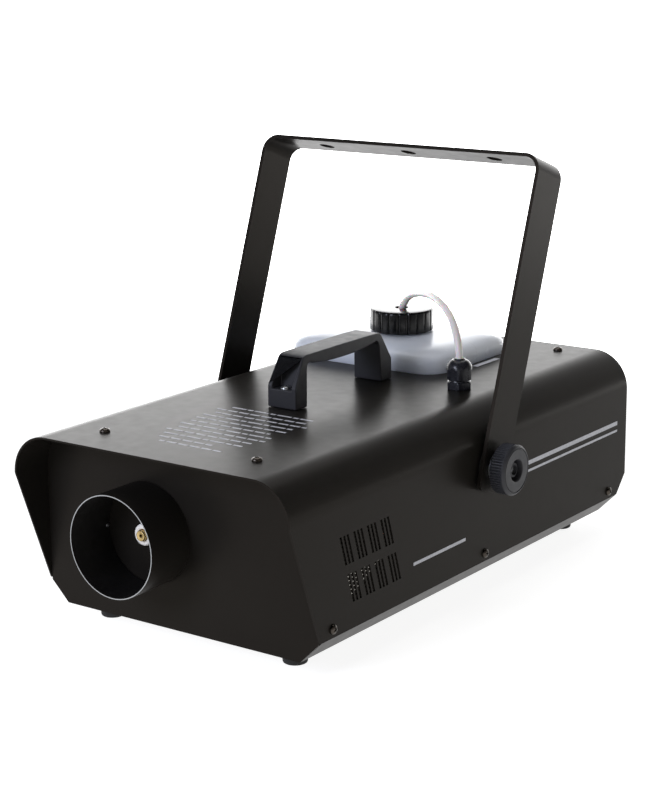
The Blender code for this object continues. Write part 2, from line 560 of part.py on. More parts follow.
def clamp_knobs():
    """Each side: nut behind the wall, rubber washer, yoke, steel washer, then the knob with its stud."""
    def ribs(angle, r, h):
        return r - 0.0011 if r > 0.0200 and round(angle / (2 * math.pi) * 60) % 2 == 0 else r
    knob = [(0.0041, 0.1383), (0.0125, 0.1383), (0.0180, 0.1412), (0.0202, 0.1424), (0.0202, 0.1538),
            (0.0192, 0.1555), (0.0088, 0.1555), (0.0086, 0.1508), (0.0041, 0.1508)]
    stud = [(0.0038, 0.1160), (0.0038, 0.1511), (0.0056, 0.1511), (0.0056, 0.1535), (0.0046, 0.1545)]
    for side, tag in ((1, "right"), (-1, "left")):
        at, out = (0.0, PIVOT_Y, PIVOT_Z), (0, side * math.radians(90), 0)
        add("knob_" + tag, "moulding", turned(knob, 60, shape=ribs), at, out, smooth=25)
        add("knob_stud_" + tag, "zinc", turned(stud, 18, ring=False), at, out)
        add("thrust_washer_" + tag, "zinc", turned(washer(0.0120, 0.0041, 0.1366, 0.1380), 20), at, out)
        add("friction_washer_" + tag, "rubber", turned(washer(0.0160, 0.0041, 0.1303, 0.1330), 24), at, out)
        add("pivot_nut_" + tag, "zinc", turned(washer(0.0065, 0.0041, 0.1205, 0.1282), 24,
                                               shape=six_sided(0.0130, 0.0050)), at, out, smooth=20)


def feet_and_screws():
    foot = [(0.0088, -FOOT_H), (0.0096, -FOOT_H + 0.0010), (0.0102, -GAP), (0.0029, -GAP), (0.0029, 0.0030),
            (0.0020, 0.0040)]
    for side, tag in ((-1, "left"), (1, "right")):
        for y, end in zip(FOOT_YS, ("front", "rear")):
            add("foot_%s_%s" % (end, tag), "rubber", turned(foot, 16, ring=False), (side * FOOT_X, y, 0))
    for x, y, tag in COVER_SCREWS:
        add("cover_screw_" + tag, "zinc", turned([(0.0034, GAP), (0.0031, 0.0014), (0.0022, 0.0021),
                                                  (0.0010, 0.0025)], 16, ring=False), (x, y, TOP_Z))


def rear_end():
    rear = end_panel("rear_panel", REAR_Y, -0.013)
    y, z, face = REAR_Y, REAR_ITEM_Z, REAR_Y + SHEET
    holes = box((INLET_X - 0.0140, y - 0.004, z - 0.0105), (INLET_X + 0.0140, y + 0.005, z + 0.0105))
    box((SWITCH_X - 0.0075, y - 0.004, z - 0.0105), (SWITCH_X + 0.0075, y + 0.005, z + 0.0105), holes)
    for x, r in ((FUSE_X, 0.0067), (SOCKET_X, 0.0087), (LAMP_X, 0.0037)):
        drill(holes, (x, y, z), "y", 0.004, r, 20)
    boolean(rear, holes)

    inlet = add("mains_inlet", "moulding", box((INLET_X - 0.0137, y - 0.0120, z - 0.0102),
                                               (INLET_X + 0.0137, face + 0.0030, z + 0.0102)))
    boolean(inlet, box((INLET_X - 0.0117, y - 0.0100, z - 0.0082), (INLET_X + 0.0117, face + 0.010, z + 0.0082)))
    frame = add("switch_frame", "moulding", box((SWITCH_X - 0.0072, y - 0.0100, z - 0.0102),
                                                (SWITCH_X + 0.0072, face + 0.0016, z + 0.0102)))
    boolean(frame, box((SWITCH_X - 0.0058, y - 0.0086, z - 0.0088), (SWITCH_X + 0.0058, face + 0.010, z + 0.0088)))
    rocker = [(0.0030, 0.0072), (-0.0022, 0.0072), (-0.0048, 0.0), (-0.0022, -0.0072), (0.0002, -0.0072),
              (0.0008, 0.0)]
    add("power_rocker", "red_plastic", extrude(bmesh.new(), [(-0.0053, a, b) for a, b in rocker], (0.0106, 0, 0)),
        (SWITCH_X, face, z))
    back = (math.radians(-90), 0, 0)        # local z looks out of the rear panel
    add("fuse_holder", "moulding", turned(washer(0.0064, 0.0041, -0.0180, 0.0022), 16), (FUSE_X, face, z), back)
    add("fuse_cap", "moulding", turned([(0.0032, -0.0060), (0.0037, -0.0060), (0.0037, 0.0025), (0.0060, 0.0025),
                                        (0.0060, 0.0062), (0.0052, 0.0070)], 16, ring=False),
        (FUSE_X, face, z), back)
    add("remote_socket", "zinc", turned([(0.0020, -0.0100), (0.0084, -0.0100), (0.0084, GAP), (0.0100, GAP),
                                         (0.0100, 0.0020), (0.0070, 0.0020), (0.0070, -0.0080),
                                         (0.0020, -0.0080)], 20), (SOCKET_X, face, z), back)
    add("ready_lamp", "red_plastic", turned([(0.0034, -0.0060), (0.0034, GAP), (0.0050, GAP), (0.0046, 0.0022),
                                             (0.0024, 0.0034)], 18, ring=False), (LAMP_X, face, z), back)


def main():
    for obj in list(bpy.data.objects):
        bpy.data.objects.remove(obj)
    root = bpy.data.objects.new("fog_machine", None)
    bpy.context.scene.collection.objects.link(root)
    root.location = (0, (TUBE_L - BACK_Y) / 2, FOOT_H)      # row origin: under the middle of the length
    top_cover()
    base_tray()
    front_end()
    heater()
    pump()
    electronics()
    tank()
    fluid_line()
    carry_handle()
    yoke()
    clamp_knobs()
    rear_end()
    feet_and_screws()


main()
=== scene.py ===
import json
import math

import bmesh
import bpy
from mathutils import Matrix, Vector


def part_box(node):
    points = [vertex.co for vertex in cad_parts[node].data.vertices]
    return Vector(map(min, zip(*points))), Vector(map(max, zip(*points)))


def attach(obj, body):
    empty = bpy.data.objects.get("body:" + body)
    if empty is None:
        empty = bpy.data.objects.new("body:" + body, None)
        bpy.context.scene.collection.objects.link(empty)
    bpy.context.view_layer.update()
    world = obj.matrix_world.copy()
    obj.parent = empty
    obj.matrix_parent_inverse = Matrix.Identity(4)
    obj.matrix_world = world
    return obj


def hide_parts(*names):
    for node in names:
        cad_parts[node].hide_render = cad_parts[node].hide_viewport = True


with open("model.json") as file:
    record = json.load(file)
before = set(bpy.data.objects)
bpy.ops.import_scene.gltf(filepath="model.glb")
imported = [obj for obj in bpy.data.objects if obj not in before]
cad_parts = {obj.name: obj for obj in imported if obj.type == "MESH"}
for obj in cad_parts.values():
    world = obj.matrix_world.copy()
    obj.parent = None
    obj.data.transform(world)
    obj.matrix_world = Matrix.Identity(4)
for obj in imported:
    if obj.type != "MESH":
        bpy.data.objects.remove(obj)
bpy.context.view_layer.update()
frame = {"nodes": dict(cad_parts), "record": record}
nodes = frame["nodes"]
print("frame loaded:", len(nodes), "nodes")

# Lengths are metres, in the machine's own frame: x to the right, y back from the front panel and z up from the
# tray.
origin = Vector((0.0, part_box("front_panel")[0].y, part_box("base_tray")[0].z))
sheet = 0.0015          # steel sheet thickness
gap = 0.0003            # clearance where two pieces meet
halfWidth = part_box("top_cover")[1].x
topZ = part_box("top_cover")[1].z - origin.z


# Camera, light and floor

studio = {
    "azimuth": 35.83, "elevation": 13.88, "roll": -0.48,     # where the camera looks from, in degrees
    "cameraAt": (0.9077, -1.2784, 0.5372), "lens": 110.0, "clipEnd": 200,
    "floor": "#a3a3a2", "floorHalf": 60,
    "floorGlow": 0.90, "farFloorGlow": 3.4, "glowFrom": 0.55, "glowTo": 1.0,         # metres behind the middle
    "worldDark": 0.36, "worldBright": 3.9, "brightFrom": 0.45, "brightTo": 0.92,     # 1 is straight behind
    "fadeFrom": 0.28, "fadeTo": 0.52, "overheadLeft": 0.04,                          # 1 is straight up
    "lights": (         # name, place, target, width, height, watts, colour
        ("overhead", (-0.6, 0.9, 3.0), (0, 0.0, 0), 2.6, 2.6, 46, "#ffffff"),
        ("frontSoftbox", (-0.7, -2.6, 1.3), (0, 0, 0.15), 1.2, 1.2, 52, "#e4eaff"),
        ("rightFill", (2.2, -0.9, 1.0), (0.1, 0, 0.1), 0.5, 1.0, 1.5, "#ffeedd"),
    ),
}


def linear(hexColour, alpha=1.0):
    parts = [int(hexColour[i:i + 2], 16) / 255 for i in (1, 3, 5)]
    return [p / 12.92 if p <= 0.04045 else ((p + 0.055) / 1.055) ** 2.4 for p in parts] + [alpha]


# One node with its settings and inputs: a socket given as an input is linked, anything else is set.
def addNode(tree, kind, settings=None, inputs=None):
    made = tree.nodes.new("ShaderNode" + kind)
    for key, value in (settings or {}).items():
        setattr(made, key, value)
    for key, value in (inputs or {}).items():
        if isinstance(value, bpy.types.NodeSocket):
            tree.links.new(value, made.inputs[key])
        else:
            made.inputs[key].default_value = value
    return made


def aimedAt(place, target, rollDegrees=0.0):
    forward = (Vector(target) - Vector(place)).normalized()
    right = forward.cross(Vector((0, 0, 1))).normalized()
    up = right.cross(forward)
    angle = math.radians(rollDegrees)
    tiltedRight = right * math.cos(angle) + up * math.sin(angle)
    tiltedUp = up * math.cos(angle) - right * math.sin(angle)
    turn = Matrix((tiltedRight, tiltedUp, -forward)).transposed().to_4x4()
    return Matrix.Translation(Vector(place)) @ turn


def makeCamera():
    azimuth, elevation = math.radians(studio["azimuth"]), math.radians(studio["elevation"])
    looking = Vector((-math.sin(azimuth) * math.cos(elevation), math.cos(azimuth) * math.cos(elevation),
                      -math.sin(elevation)))
    camera = bpy.data.objects.new("camera", bpy.data.cameras.new("camera"))
    camera.data.sensor_fit, camera.data.sensor_width = "HORIZONTAL", 36.0
    camera.data.lens = studio["lens"]
    camera.data.clip_end = studio["clipEnd"]
    at = Vector(studio["cameraAt"])
    camera.matrix_world = aimedAt(at, at + looking, studio["roll"])
    bpy.context.scene.collection.objects.link(camera)
    bpy.context.scene.camera = camera


def makeLights():
    for name, place, target, width, height, watts, colour in studio["lights"]:
        light = bpy.data.lights.new(name, "AREA")
        light.shape, light.size, light.size_y = "RECTANGLE", width, height
        light.energy, light.color = watts, linear(colour)[:3]
        lamp = bpy.data.objects.new(name, light)
        lamp.matrix_world = aimedAt(place, target)
        bpy.context.scene.collection.objects.link(lamp)


# A lit table: its shadows stay faint, and it is brighter far behind the machine.
def makeFloor(behind):
    material = bpy.data.materials.new("paleFloor")
    material.use_nodes = True
    tree = material.node_tree
    shader = tree.nodes["Principled BSDF"]
    shader.inputs["Base Color"].default_value = linear(studio["floor"])
    shader.inputs["Roughness"].default_value = 0.9
    shader.inputs["Specular IOR Level"].default_value = 0.1
    shader.inputs["Emission Color"].default_value = (1, 1, 1, 1)
    depth = addNode(tree, "VectorMath", {"operation": "DOT_PRODUCT"},
                    {0: addNode(tree, "TexCoord").outputs["Object"], 1: behind})
    glow = addNode(tree, "MapRange", {"interpolation_type": "SMOOTHSTEP"},
                   {"Value": depth.outputs["Value"], "From Min": studio["glowFrom"],
                    "From Max": studio["glowTo"], "To Min": studio["floorGlow"],
                    "To Max": studio["farFloorGlow"]})
    tree.links.new(glow.outputs[0], shader.inputs["Emission Strength"])
    bm = bmesh.new()
    bmesh.ops.create_grid(bm, x_segments=1, y_segments=1, size=studio["floorHalf"])
    mesh = bpy.data.meshes.new("floor")
    bm.to_mesh(mesh)
    bm.free()
    floor = bpy.data.objects.new("floor", mesh)
    mesh.materials.append(material)
    bpy.context.scene.collection.objects.link(floor)


# A bright wall of light behind the machine, dimmer towards the front and overhead, as a white sweep gives.
def makeWorld(behind):
    world = bpy.data.worlds.new("studio")
    world.use_nodes = True
    bpy.context.scene.world = world
    tree = world.node_tree
    tree.nodes.clear()
    direction = addNode(tree, "TexCoord").outputs["Generated"]
    facing = addNode(tree, "VectorMath", {"operation": "DOT_PRODUCT"}, {0: direction, 1: behind})
    height = addNode(tree, "SeparateXYZ", None, {0: direction}).outputs["Z"]
    glow = addNode(tree, "MapRange", {"interpolation_type": "SMOOTHSTEP"},
                   {"Value": facing.outputs["Value"], "From Min": studio["brightFrom"],
                    "From Max": studio["brightTo"], "To Min": studio["worldDark"],
                    "To Max": studio["worldBright"]})
    high = addNode(tree, "MapRange", {"interpolation_type": "SMOOTHSTEP"},
                   {"Value": height, "From Min": studio["fadeFrom"], "From Max": studio["fadeTo"],
                    "To Min": 1.0, "To Max": studio["overheadLeft"]})
    strength = addNode(tree, "Math", {"operation": "MULTIPLY"}, {0: glow.outputs[0], 1: high.outputs[0]})
    back = addNode(tree, "Background", None, {"Color": (1, 1, 1, 1), "Strength": strength.outputs[0]})
    out = addNode(tree, "OutputWorld", None, {"Surface": back.outputs[0]})
    out.is_active_output = True
    bpy.context.scene.view_settings.view_transform = "Standard"
    bpy.context.scene.view_settings.look = "None"


def makeStudio():
    azimuth = math.radians(studio["azimuth"])
    behind = Vector((-math.sin(azimuth), math.cos(azimuth), 0.0))
    makeCamera()
    makeLights()
    makeFloor(behind)
    makeWorld(behind)


makeStudio()
print("studio ready")


# Building helpers

def toObject(name, bm, material, smoothAngle=35):
    bmesh.ops.recalc_face_normals(bm, faces=bm.faces)
    mesh = bpy.data.meshes.new(name)
    bm.to_mesh(mesh)
    bm.free()
    mesh.materials.append(material)
    mesh.shade_smooth()
    mesh.set_sharp_from_angle(angle=math.radians(smoothAngle))
    piece = bpy.data.objects.new(name, mesh)
    bpy.context.scene.collection.objects.link(piece)
    return piece


# Puts a bmesh made in the machine's frame in its place and hangs it on its body.
def addPiece(name, bm, material, body="housing", replaced=(), at=(0, 0, 0), turn=None, smoothAngle=35):
    matrix = Matrix.Translation(origin + Vector(at)) @ (turn or Matrix.Identity(4))
    bm.transform(matrix)
    piece = toObject(name, bm, material, smoothAngle)
    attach(piece, body)
    if replaced:
        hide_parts(*replaced)
    return piece


# Cutters that overlap each other go into separate calls, because their overlap would be left standing.
def cutAway(piece, cutter):
    bmesh.ops.recalc_face_normals(cutter, faces=cutter.faces)
    cutter.transform(Matrix.Translation(origin))
    tool = toObject("cutter", cutter, piece.data.materials[0])
    rule = piece.modifiers.new("cut", "BOOLEAN")
    rule.operation, rule.solver, rule.object = "DIFFERENCE", "EXACT", tool
    bpy.context.view_layer.update()
    cut = bpy.data.meshes.new_from_object(piece.evaluated_get(bpy.context.evaluated_depsgraph_get()))
    piece.modifiers.clear()
    piece.data = cut
    bpy.data.objects.remove(tool)
    cut.shade_smooth()
    cut.set_sharp_from_angle(angle=math.radians(35))


def softenEdges(piece, width, segments=2, angle=35):
    rule = piece.modifiers.new("edges", "BEVEL")
    rule.width, rule.segments, rule.limit_method = width, segments, "ANGLE"
    rule.angle_limit, rule.harden_normals = math.radians(angle), True


# An outline pushed along step into a solid.
def pushed(bm, outline, step):
    face = bm.faces.new([bm.verts.new(p) for p in outline])
    grown = bmesh.ops.extrude_face_region(bm, geom=[face])["geom"]
    bmesh.ops.translate(bm, verts=[g for g in grown if isinstance(g, bmesh.types.BMVert)], vec=Vector(step))
    return bm


def block(bm, low, high):
    made = bmesh.ops.create_cube(bm, size=1.0)["verts"]
    low, high = Vector(low), Vector(high)
    bmesh.ops.scale(bm, verts=made, vec=high - low)
    bmesh.ops.translate(bm, verts=made, vec=(low + high) / 2)
    return bm


# Spins (radius, height) points about z; rule(angle, radius, height) may reshape the radius.
def spun(profile, steps=96, ring=True, rule=None):
    bm = bmesh.new()
    points = profile + profile[:1] if ring else profile
    loops = []
    for radius, height in points[:-1] if ring else points:
        loop = []
        for k in range(steps):
            a = 2 * math.pi * k / steps
            r = rule(a, radius, height) if rule else radius
            loop.append(bm.verts.new((r * math.cos(a), r * math.sin(a), height)))
        loops.append(loop)
    pairs = list(zip(loops, loops[1:])) + ([(loops[-1], loops[0])] if ring else [])
    for lower, upper in pairs:
        for k in range(steps):
            m = (k + 1) % steps
            bm.faces.new((lower[k], lower[m], upper[m], upper[k]))
    if not ring:
        bm.faces.new(list(reversed(loops[0])))
        bm.faces.new(loops[-1])
    return bm


def lofted(rings, bm=None, capped=True):
    bm = bm or bmesh.new()
    loops = [[bm.verts.new(p) for p in ring] for ring in rings]
    count = len(loops[0])
    for lower, upper in zip(loops, loops[1:]):
        for k in range(count):
            m = (k + 1) % count
            bm.faces.new((lower[k], lower[m], upper[m], upper[k]))
    if capped:
        bm.faces.new(list(reversed(loops[0])))
        bm.faces.new(loops[-1])
    return bm


def roundedRect(halfX, halfY, radius, midX=0.0, midY=0.0, arc=8):
    line = []
    for sx, sy, start in ((1, 1, 0), (-1, 1, 90), (-1, -1, 180), (1, -1, 270)):
        for i in range(arc + 1):
            a = math.radians(start + 90 * i / arc)
            line.append((midX + sx * (halfX - radius) + radius * math.cos(a),
                         midY + sy * (halfY - radius) + radius * math.sin(a)))
    return line


def drill(bm, radius, depth, matrix, segments=32):
    bmesh.ops.create_cone(bm, cap_ends=True, segments=segments, radius1=radius, radius2=radius, depth=depth,
                          matrix=matrix)


outOfFront = Matrix.Rotation(math.radians(90), 4, "X")       # local z points out of the front
outOfRight = Matrix.Rotation(math.radians(90), 4, "Y")
outOfLeft = Matrix.Rotation(math.radians(-90), 4, "Y")


# Materials. Noise scales are one over the feature's size in metres.

def newMaterial(name, base, roughness, metallic=0.0, **sockets):
    material = bpy.data.materials.new(name)
    material.use_nodes = True
    shader = material.node_tree.nodes["Principled BSDF"]
    shader.inputs["Base Color"].default_value = linear(base)
    shader.inputs["Roughness"].default_value = roughness
    shader.inputs["Metallic"].default_value = metallic
    for key, value in sockets.items():
        shader.inputs[key.replace("_", " ")].default_value = value
    return material, material.node_tree, shader


# Tint, roughness spread and fine relief that most finishes share, each from a feature size in millimetres.
def surfaceDetail(tree, shader, tints=None, cloudMm=40, rough=None, roughMm=12, relief=()):
    place = addNode(tree, "TexCoord").outputs["Object"]
    if tints:
        cloud = addNode(tree, "TexNoise", None, {"Vector": place, "Scale": 1000 / cloudMm, "Detail": 4.0})
        mixed = addNode(tree, "Mix", {"data_type": "RGBA"},
                        {"Factor": cloud.outputs["Fac"], "A": linear(tints[0]), "B": linear(tints[1])})
        tree.links.new(mixed.outputs[2], shader.inputs["Base Color"])
    if rough:
        patch = addNode(tree, "TexNoise", None, {"Vector": place, "Scale": 1000 / roughMm, "Detail": 5.0})
        spread = addNode(tree, "MapRange", None,
                         {"Value": patch.outputs["Fac"], "From Min": 0.3, "From Max": 0.7,
                          "To Min": rough[0], "To Max": rough[1]})
        tree.links.new(spread.outputs[0], shader.inputs["Roughness"])
    normal = None
    for sizeMm, heightMm, strength in relief:
        grain = addNode(tree, "TexNoise", None, {"Vector": place, "Scale": 1000 / sizeMm, "Detail": 2.0})
        inputs = {"Height": grain.outputs["Fac"], "Distance": heightMm / 1000, "Strength": strength}
        if normal:
            inputs["Normal"] = normal
        normal = addNode(tree, "Bump", None, inputs).outputs["Normal"]
    if normal:
        tree.links.new(normal, shader.inputs["Normal"])
    return place, normal


# Steel sheet, sprayed with black powder and baked: satin, a faint orange peel and a dull warm black.
# Its 0.15 mm grit is drawn at 0.5 mm so that it shows.
def powderCoatedSteel():
    material, tree, shader = newMaterial("powderCoatedSteel", "#1c1a17", 0.32, Specular_IOR_Level=0.06)
    shader.inputs["Specular Tint"].default_value = (1.0, 0.80, 0.60, 1.0)
    surfaceDetail(tree, shader, tints=("#1a1816", "#1f1d1a"), cloudMm=60, rough=(0.30, 0.34), roughMm=9,
                  relief=((2.2, 0.01, 0.25), (0.5, 0.004, 0.5)))
    return material


# The same coat inside the tube, dulled by heat and dried fluid.
def sootedCoat():
    material, tree, shader = newMaterial("sootedPowderCoat", "#121110", 0.55, Specular_IOR_Level=0.3)
    surfaceDetail(tree, shader, tints=("#100f0e", "#1a1817"), cloudMm=18, rough=(0.45, 0.65), roughMm=6,
                  relief=((1.6, 0.02, 0.5),))
    return material


# Nylon, moulded against a spark-eroded tool: cool dark grey with an even fine grain.
def mouldedNylon():
    material, tree, shader = newMaterial("mouldedNylon", "#2a2a2d", 0.44, Specular_IOR_Level=0.3)
    surfaceDetail(tree, shader, tints=("#28282b", "#303033"), cloudMm=30, rough=(0.42, 0.52), roughMm=7,
                  relief=((0.6, 0.02, 0.6),))
    return material


# Polypropylene, moulded in a polished tool: deep black with clear highlights and slight sink ripples.
def polishedCap():
    material, tree, shader = newMaterial("polishedPolypropylene", "#101013", 0.16, Specular_IOR_Level=0.28)
    surfaceDetail(tree, shader, tints=("#0b0b0c", "#131314"), cloudMm=14, rough=(0.12, 0.22), roughMm=5,
                  relief=((6.0, 0.02, 0.25),))
    return material


# Nylon, moulded in a smooth tool: near black with a cool, waxy gloss.
def glossNylon():
    material, tree, shader = newMaterial("glossNylon", "#26262a", 0.27, Specular_IOR_Level=0.35)
    surfaceDetail(tree, shader, tints=("#202024", "#28282c"), cloudMm=9, rough=(0.22, 0.33), roughMm=4,
                  relief=((2.0, 0.01, 0.3),))
    return material


# Polyethylene, blown: milky, so that light sinks in and edges glow, with soft wavy gloss and a parting line.
def blownPolyethylene(seamY):
    material, tree, shader = newMaterial("blownPolyethylene", "#d3d7df", 0.24, IOR=1.51,
                                         Specular_IOR_Level=0.25, Subsurface_Weight=0.9,
                                         Subsurface_Scale=0.03)
    shader.inputs["Subsurface Radius"].default_value = (1.0, 1.0, 1.0)
    place, normal = surfaceDetail(tree, shader, tints=("#ccd3dc", "#dbdce0"), cloudMm=45, rough=(0.18, 0.28),
                                  roughMm=14, relief=((22.0, 0.30, 0.35), (2.5, 0.02, 0.3)))
    depth = addNode(tree, "SeparateXYZ", None, {0: place}).outputs["Y"]
    away = addNode(tree, "Math", {"operation": "SUBTRACT"}, {0: depth, 1: seamY})
    spread = addNode(tree, "Math", {"operation": "ABSOLUTE"}, {0: away.outputs[0]})
    ridge = addNode(tree, "MapRange", {"interpolation_type": "SMOOTHSTEP"},
                    {"Value": spread.outputs[0], "From Min": 0.0, "From Max": 0.0009, "To Min": 1.0,
                     "To Max": 0.0})
    seam = addNode(tree, "Bump", None, {"Height": ridge.outputs[0], "Distance": 0.0004, "Strength": 0.6,
                                        "Normal": normal})
    tree.links.new(seam.outputs[0], shader.inputs["Normal"])
    return material


# Silicone tube, extruded: cloudy clear with a soft wet gloss.
def extrudedSilicone():
    material, tree, shader = newMaterial("extrudedSilicone", "#e6e3de", 0.3, IOR=1.41,
                                         Subsurface_Weight=0.6, Subsurface_Scale=0.004)
    surfaceDetail(tree, shader, tints=("#e0ddd7", "#ebe9e5"), cloudMm=14, rough=(0.25, 0.36), roughMm=8,
                  relief=((9.0, 0.02, 0.2),))
    return material


# Brass, turned: fine rings from the tool and a brown bloom from heat.
def turnedBrass():
    material, tree, shader = newMaterial("turnedBrass", "#dcc48c", 0.36, 1.0)
    surfaceDetail(tree, shader, tints=("#e3cd98", "#b3904e"), cloudMm=3.5, rough=(0.24, 0.42), roughMm=1.5,
                  relief=((0.5, 0.01, 0.5),))
    return material


# Ceramic, pressed and fired without glaze: chalky white, faintly stained.
def firedCeramic():
    material, tree, shader = newMaterial("firedCeramic", "#efedea", 0.62)
    surfaceDetail(tree, shader, tints=("#f3f1ee", "#e2dcd2"), cloudMm=5, rough=(0.55, 0.7), roughMm=2,
                  relief=((0.6, 0.02, 0.5),))
    return material


# Steel, zinc plated: pale grey with a bluish, patchy sheen.
def zincPlatedSteel():
    material, tree, shader = newMaterial("zincPlatedSteel", "#a3a5a8", 0.34, 1.0)
    surfaceDetail(tree, shader, tints=("#9b9da1", "#b3b4b4"), cloudMm=8, rough=(0.28, 0.45), roughMm=4,
                  relief=((0.8, 0.01, 0.4),))
    return material


# Steel, blackened in oil: dark screws whose domes still flash.
def blackenedSteel():
    material, tree, shader = newMaterial("blackenedSteel", "#4a4441", 0.27, 1.0)
    surfaceDetail(tree, shader, tints=("#3c3734", "#565049"), cloudMm=2, rough=(0.22, 0.36), roughMm=1,
                  relief=((0.5, 0.008, 0.4),))
    return material


# Rubber, pressed: matt charcoal with a dusty bloom.
def pressedRubber():
    material, tree, shader = newMaterial("pressedRubber", "#1c1c1c", 0.78, Specular_IOR_Level=0.3)
    surfaceDetail(tree, shader, tints=("#191919", "#262625"), cloudMm=6, rough=(0.7, 0.85), roughMm=3,
                  relief=((0.7, 0.03, 0.5),))
    return material


# Aluminium, cast: grey with a sandy skin.
def castAluminium():
    material, tree, shader = newMaterial("castAluminium", "#9fa1a3", 0.48, 1.0)
    surfaceDetail(tree, shader, tints=("#96989a", "#a9abac"), cloudMm=10, rough=(0.42, 0.58), roughMm=4,
                  relief=((0.9, 0.06, 0.7),))
    return material


# Ceramic fibre, felted: soft off-white fluff with no shine.
def feltedFibre():
    material, tree, shader = newMaterial("feltedFibre", "#efece4", 0.95, Sheen_Weight=0.3)
    surfaceDetail(tree, shader, tints=("#f3f1ea", "#dfd9cc"), cloudMm=6,
                  relief=((1.2, 0.25, 0.8), (0.4, 0.08, 0.6)))
    return material


# Copper pipe, drawn and annealed: pinkish with darker heat bloom.
def drawnCopper():
    material, tree, shader = newMaterial("drawnCopper", "#b87355", 0.32, 1.0)
    surfaceDetail(tree, shader, tints=("#c07c5c", "#7e4a35"), cloudMm=9, rough=(0.26, 0.44), roughMm=5,
                  relief=((0.6, 0.01, 0.4),))
    return material


# Glass-epoxy board under green solder mask: even, slightly waxy.
def maskedBoard():
    material, tree, shader = newMaterial("maskedBoard", "#1e5a34", 0.42)
    surfaceDetail(tree, shader, tints=("#1b5230", "#24663c"), cloudMm=7, rough=(0.36, 0.5), roughMm=4,
                  relief=((0.5, 0.02, 0.5),))
    return material


# Copper wire, wound and dipped in varnish: brown bands as wide as the 0.6 mm wire, so one pair each 1.2 mm.
def varnishedWinding():
    material, tree, shader = newMaterial("varnishedWinding", "#8a4a22", 0.3)
    place = addNode(tree, "TexCoord").outputs["Object"]
    wire = addNode(tree, "TexWave", {"bands_direction": "Y"},
                   {"Vector": place, "Scale": 260.0, "Distortion": 0.4})
    mixed = addNode(tree, "Mix", {"data_type": "RGBA"},
                    {"Factor": wire.outputs["Fac"], "A": linear("#5c2e14"), "B": linear("#a65f2f")})
    tree.links.new(mixed.outputs[2], shader.inputs["Base Color"])
    bump = addNode(tree, "Bump", None, {"Height": wire.outputs["Fac"], "Distance": 0.0003, "Strength": 0.8})
    tree.links.new(bump.outputs[0], shader.inputs["Normal"])
    return material


# Polycarbonate, moulded clear red: glossy, and deeper where it is thick.
def mouldedRed():
    material, tree, shader = newMaterial("mouldedRedPolycarbonate", "#b3140f", 0.14, IOR=1.58,
                                         Transmission_Weight=0.3)
    surfaceDetail(tree, shader, tints=("#a8120e", "#c41b14"), cloudMm=5, rough=(0.1, 0.2), roughMm=3,
                  relief=((3.0, 0.01, 0.3),))
    return material


# Ink, screen printed on the coat: flat pale grey, a little worn so that the black shows through.
def printedInk():
    material, tree, shader = newMaterial("screenPrintedInk", "#b9bac0", 0.55)
    surfaceDetail(tree, shader, tints=("#c9cad0", "#8f9096"), cloudMm=1.6, rough=(0.45, 0.65), roughMm=2,
                  relief=((0.4, 0.01, 0.5),))
    return material


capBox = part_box("tank_cap")
coat, soot, nylon, capBlack = powderCoatedSteel(), sootedCoat(), mouldedNylon(), polishedCap()
nylonGloss = glossNylon()
milky = blownPolyethylene((capBox[0].y + capBox[1].y) / 2)
silicone, brass, ceramic, zinc = extrudedSilicone(), turnedBrass(), firedCeramic(), zincPlatedSteel()
darkScrew, rubber, aluminium, fibre = blackenedSteel(), pressedRubber(), castAluminium(), feltedFibre()
copper, board, winding = drawnCopper(), maskedBoard(), varnishedWinding()
red, ink = mouldedRed(), printedInk()

finishOfSlot = {
    "powder_coat": coat, "rubber": rubber, "moulding": nylon, "cap_plastic": capBlack, "tank_plastic": milky,
    "hose": silicone, "brass": brass, "white_sleeve": ceramic, "zinc": zinc, "alloy": aluminium, "fibre": fibre,
    "copper": copper, "board": board, "winding": winding, "red_plastic": red,
}
for part in frame["record"]["subparts"]:
    nodes[part["node"]].data.materials.clear()
    nodes[part["node"]].data.materials.append(finishOfSlot[part["material_slot"]])
print("materials ready")


# Top cover: bent sheet with a hood, vent slots and the tank's opening

cover = {
    "cornerRadius": 0.032, "wallZ": 0.0178, "hoodY": -0.034, "backY": 0.462,
    "rearCutZ": 0.034, "rearCutY": 0.015,
    "edgeRadius": 0.0003, "slotWidth": 0.0024, "slotHeight": 0.0225, "slotPitch": 0.0044, "slotGroup": 0.0171,
    "slotSlant": 0.313, "slotRows": (0.0790, 0.0488), "slotY": 0.0254, "slotFromZ": 0.0902,
    "slotsInRow": 12, "slotsInGroup": 3,
    "reliefY": (0.012, 0.108), "reliefZ": (0.0350, 0.0970), "reliefInside": 0.005,
    "pivotHole": 0.0048, "glandHole": 0.0081, "holeDepth": 0.01,
    "tankClearance": 0.0018, "openingCorner": 0.022, "openingBelow": 0.024, "openingHeight": 0.030,
}


def coverLine(inset):
    half, top, radius = halfWidth - inset, topZ - inset, cover["cornerRadius"] - inset
    left = [(-half, cover["wallZ"]), (-half, cover["rearCutZ"])]
    left += [(-half + radius - radius * math.cos(a), top - radius + radius * math.sin(a))
             for a in [math.radians(90 * i / 28) for i in range(29)]]
    return left + [(-x, z) for x, z in reversed(left)]


def hoodEdge(z):
    knee = topZ - cover["cornerRadius"]
    return cover["hoodY"] if z >= knee else cover["hoodY"] * (z - cover["wallZ"]) / (knee - cover["wallZ"])


def rearEdge(z):
    low = (cover["rearCutZ"] - z) / (cover["rearCutZ"] - cover["wallZ"])
    return cover["backY"] - cover["rearCutY"] * max(0.0, low)


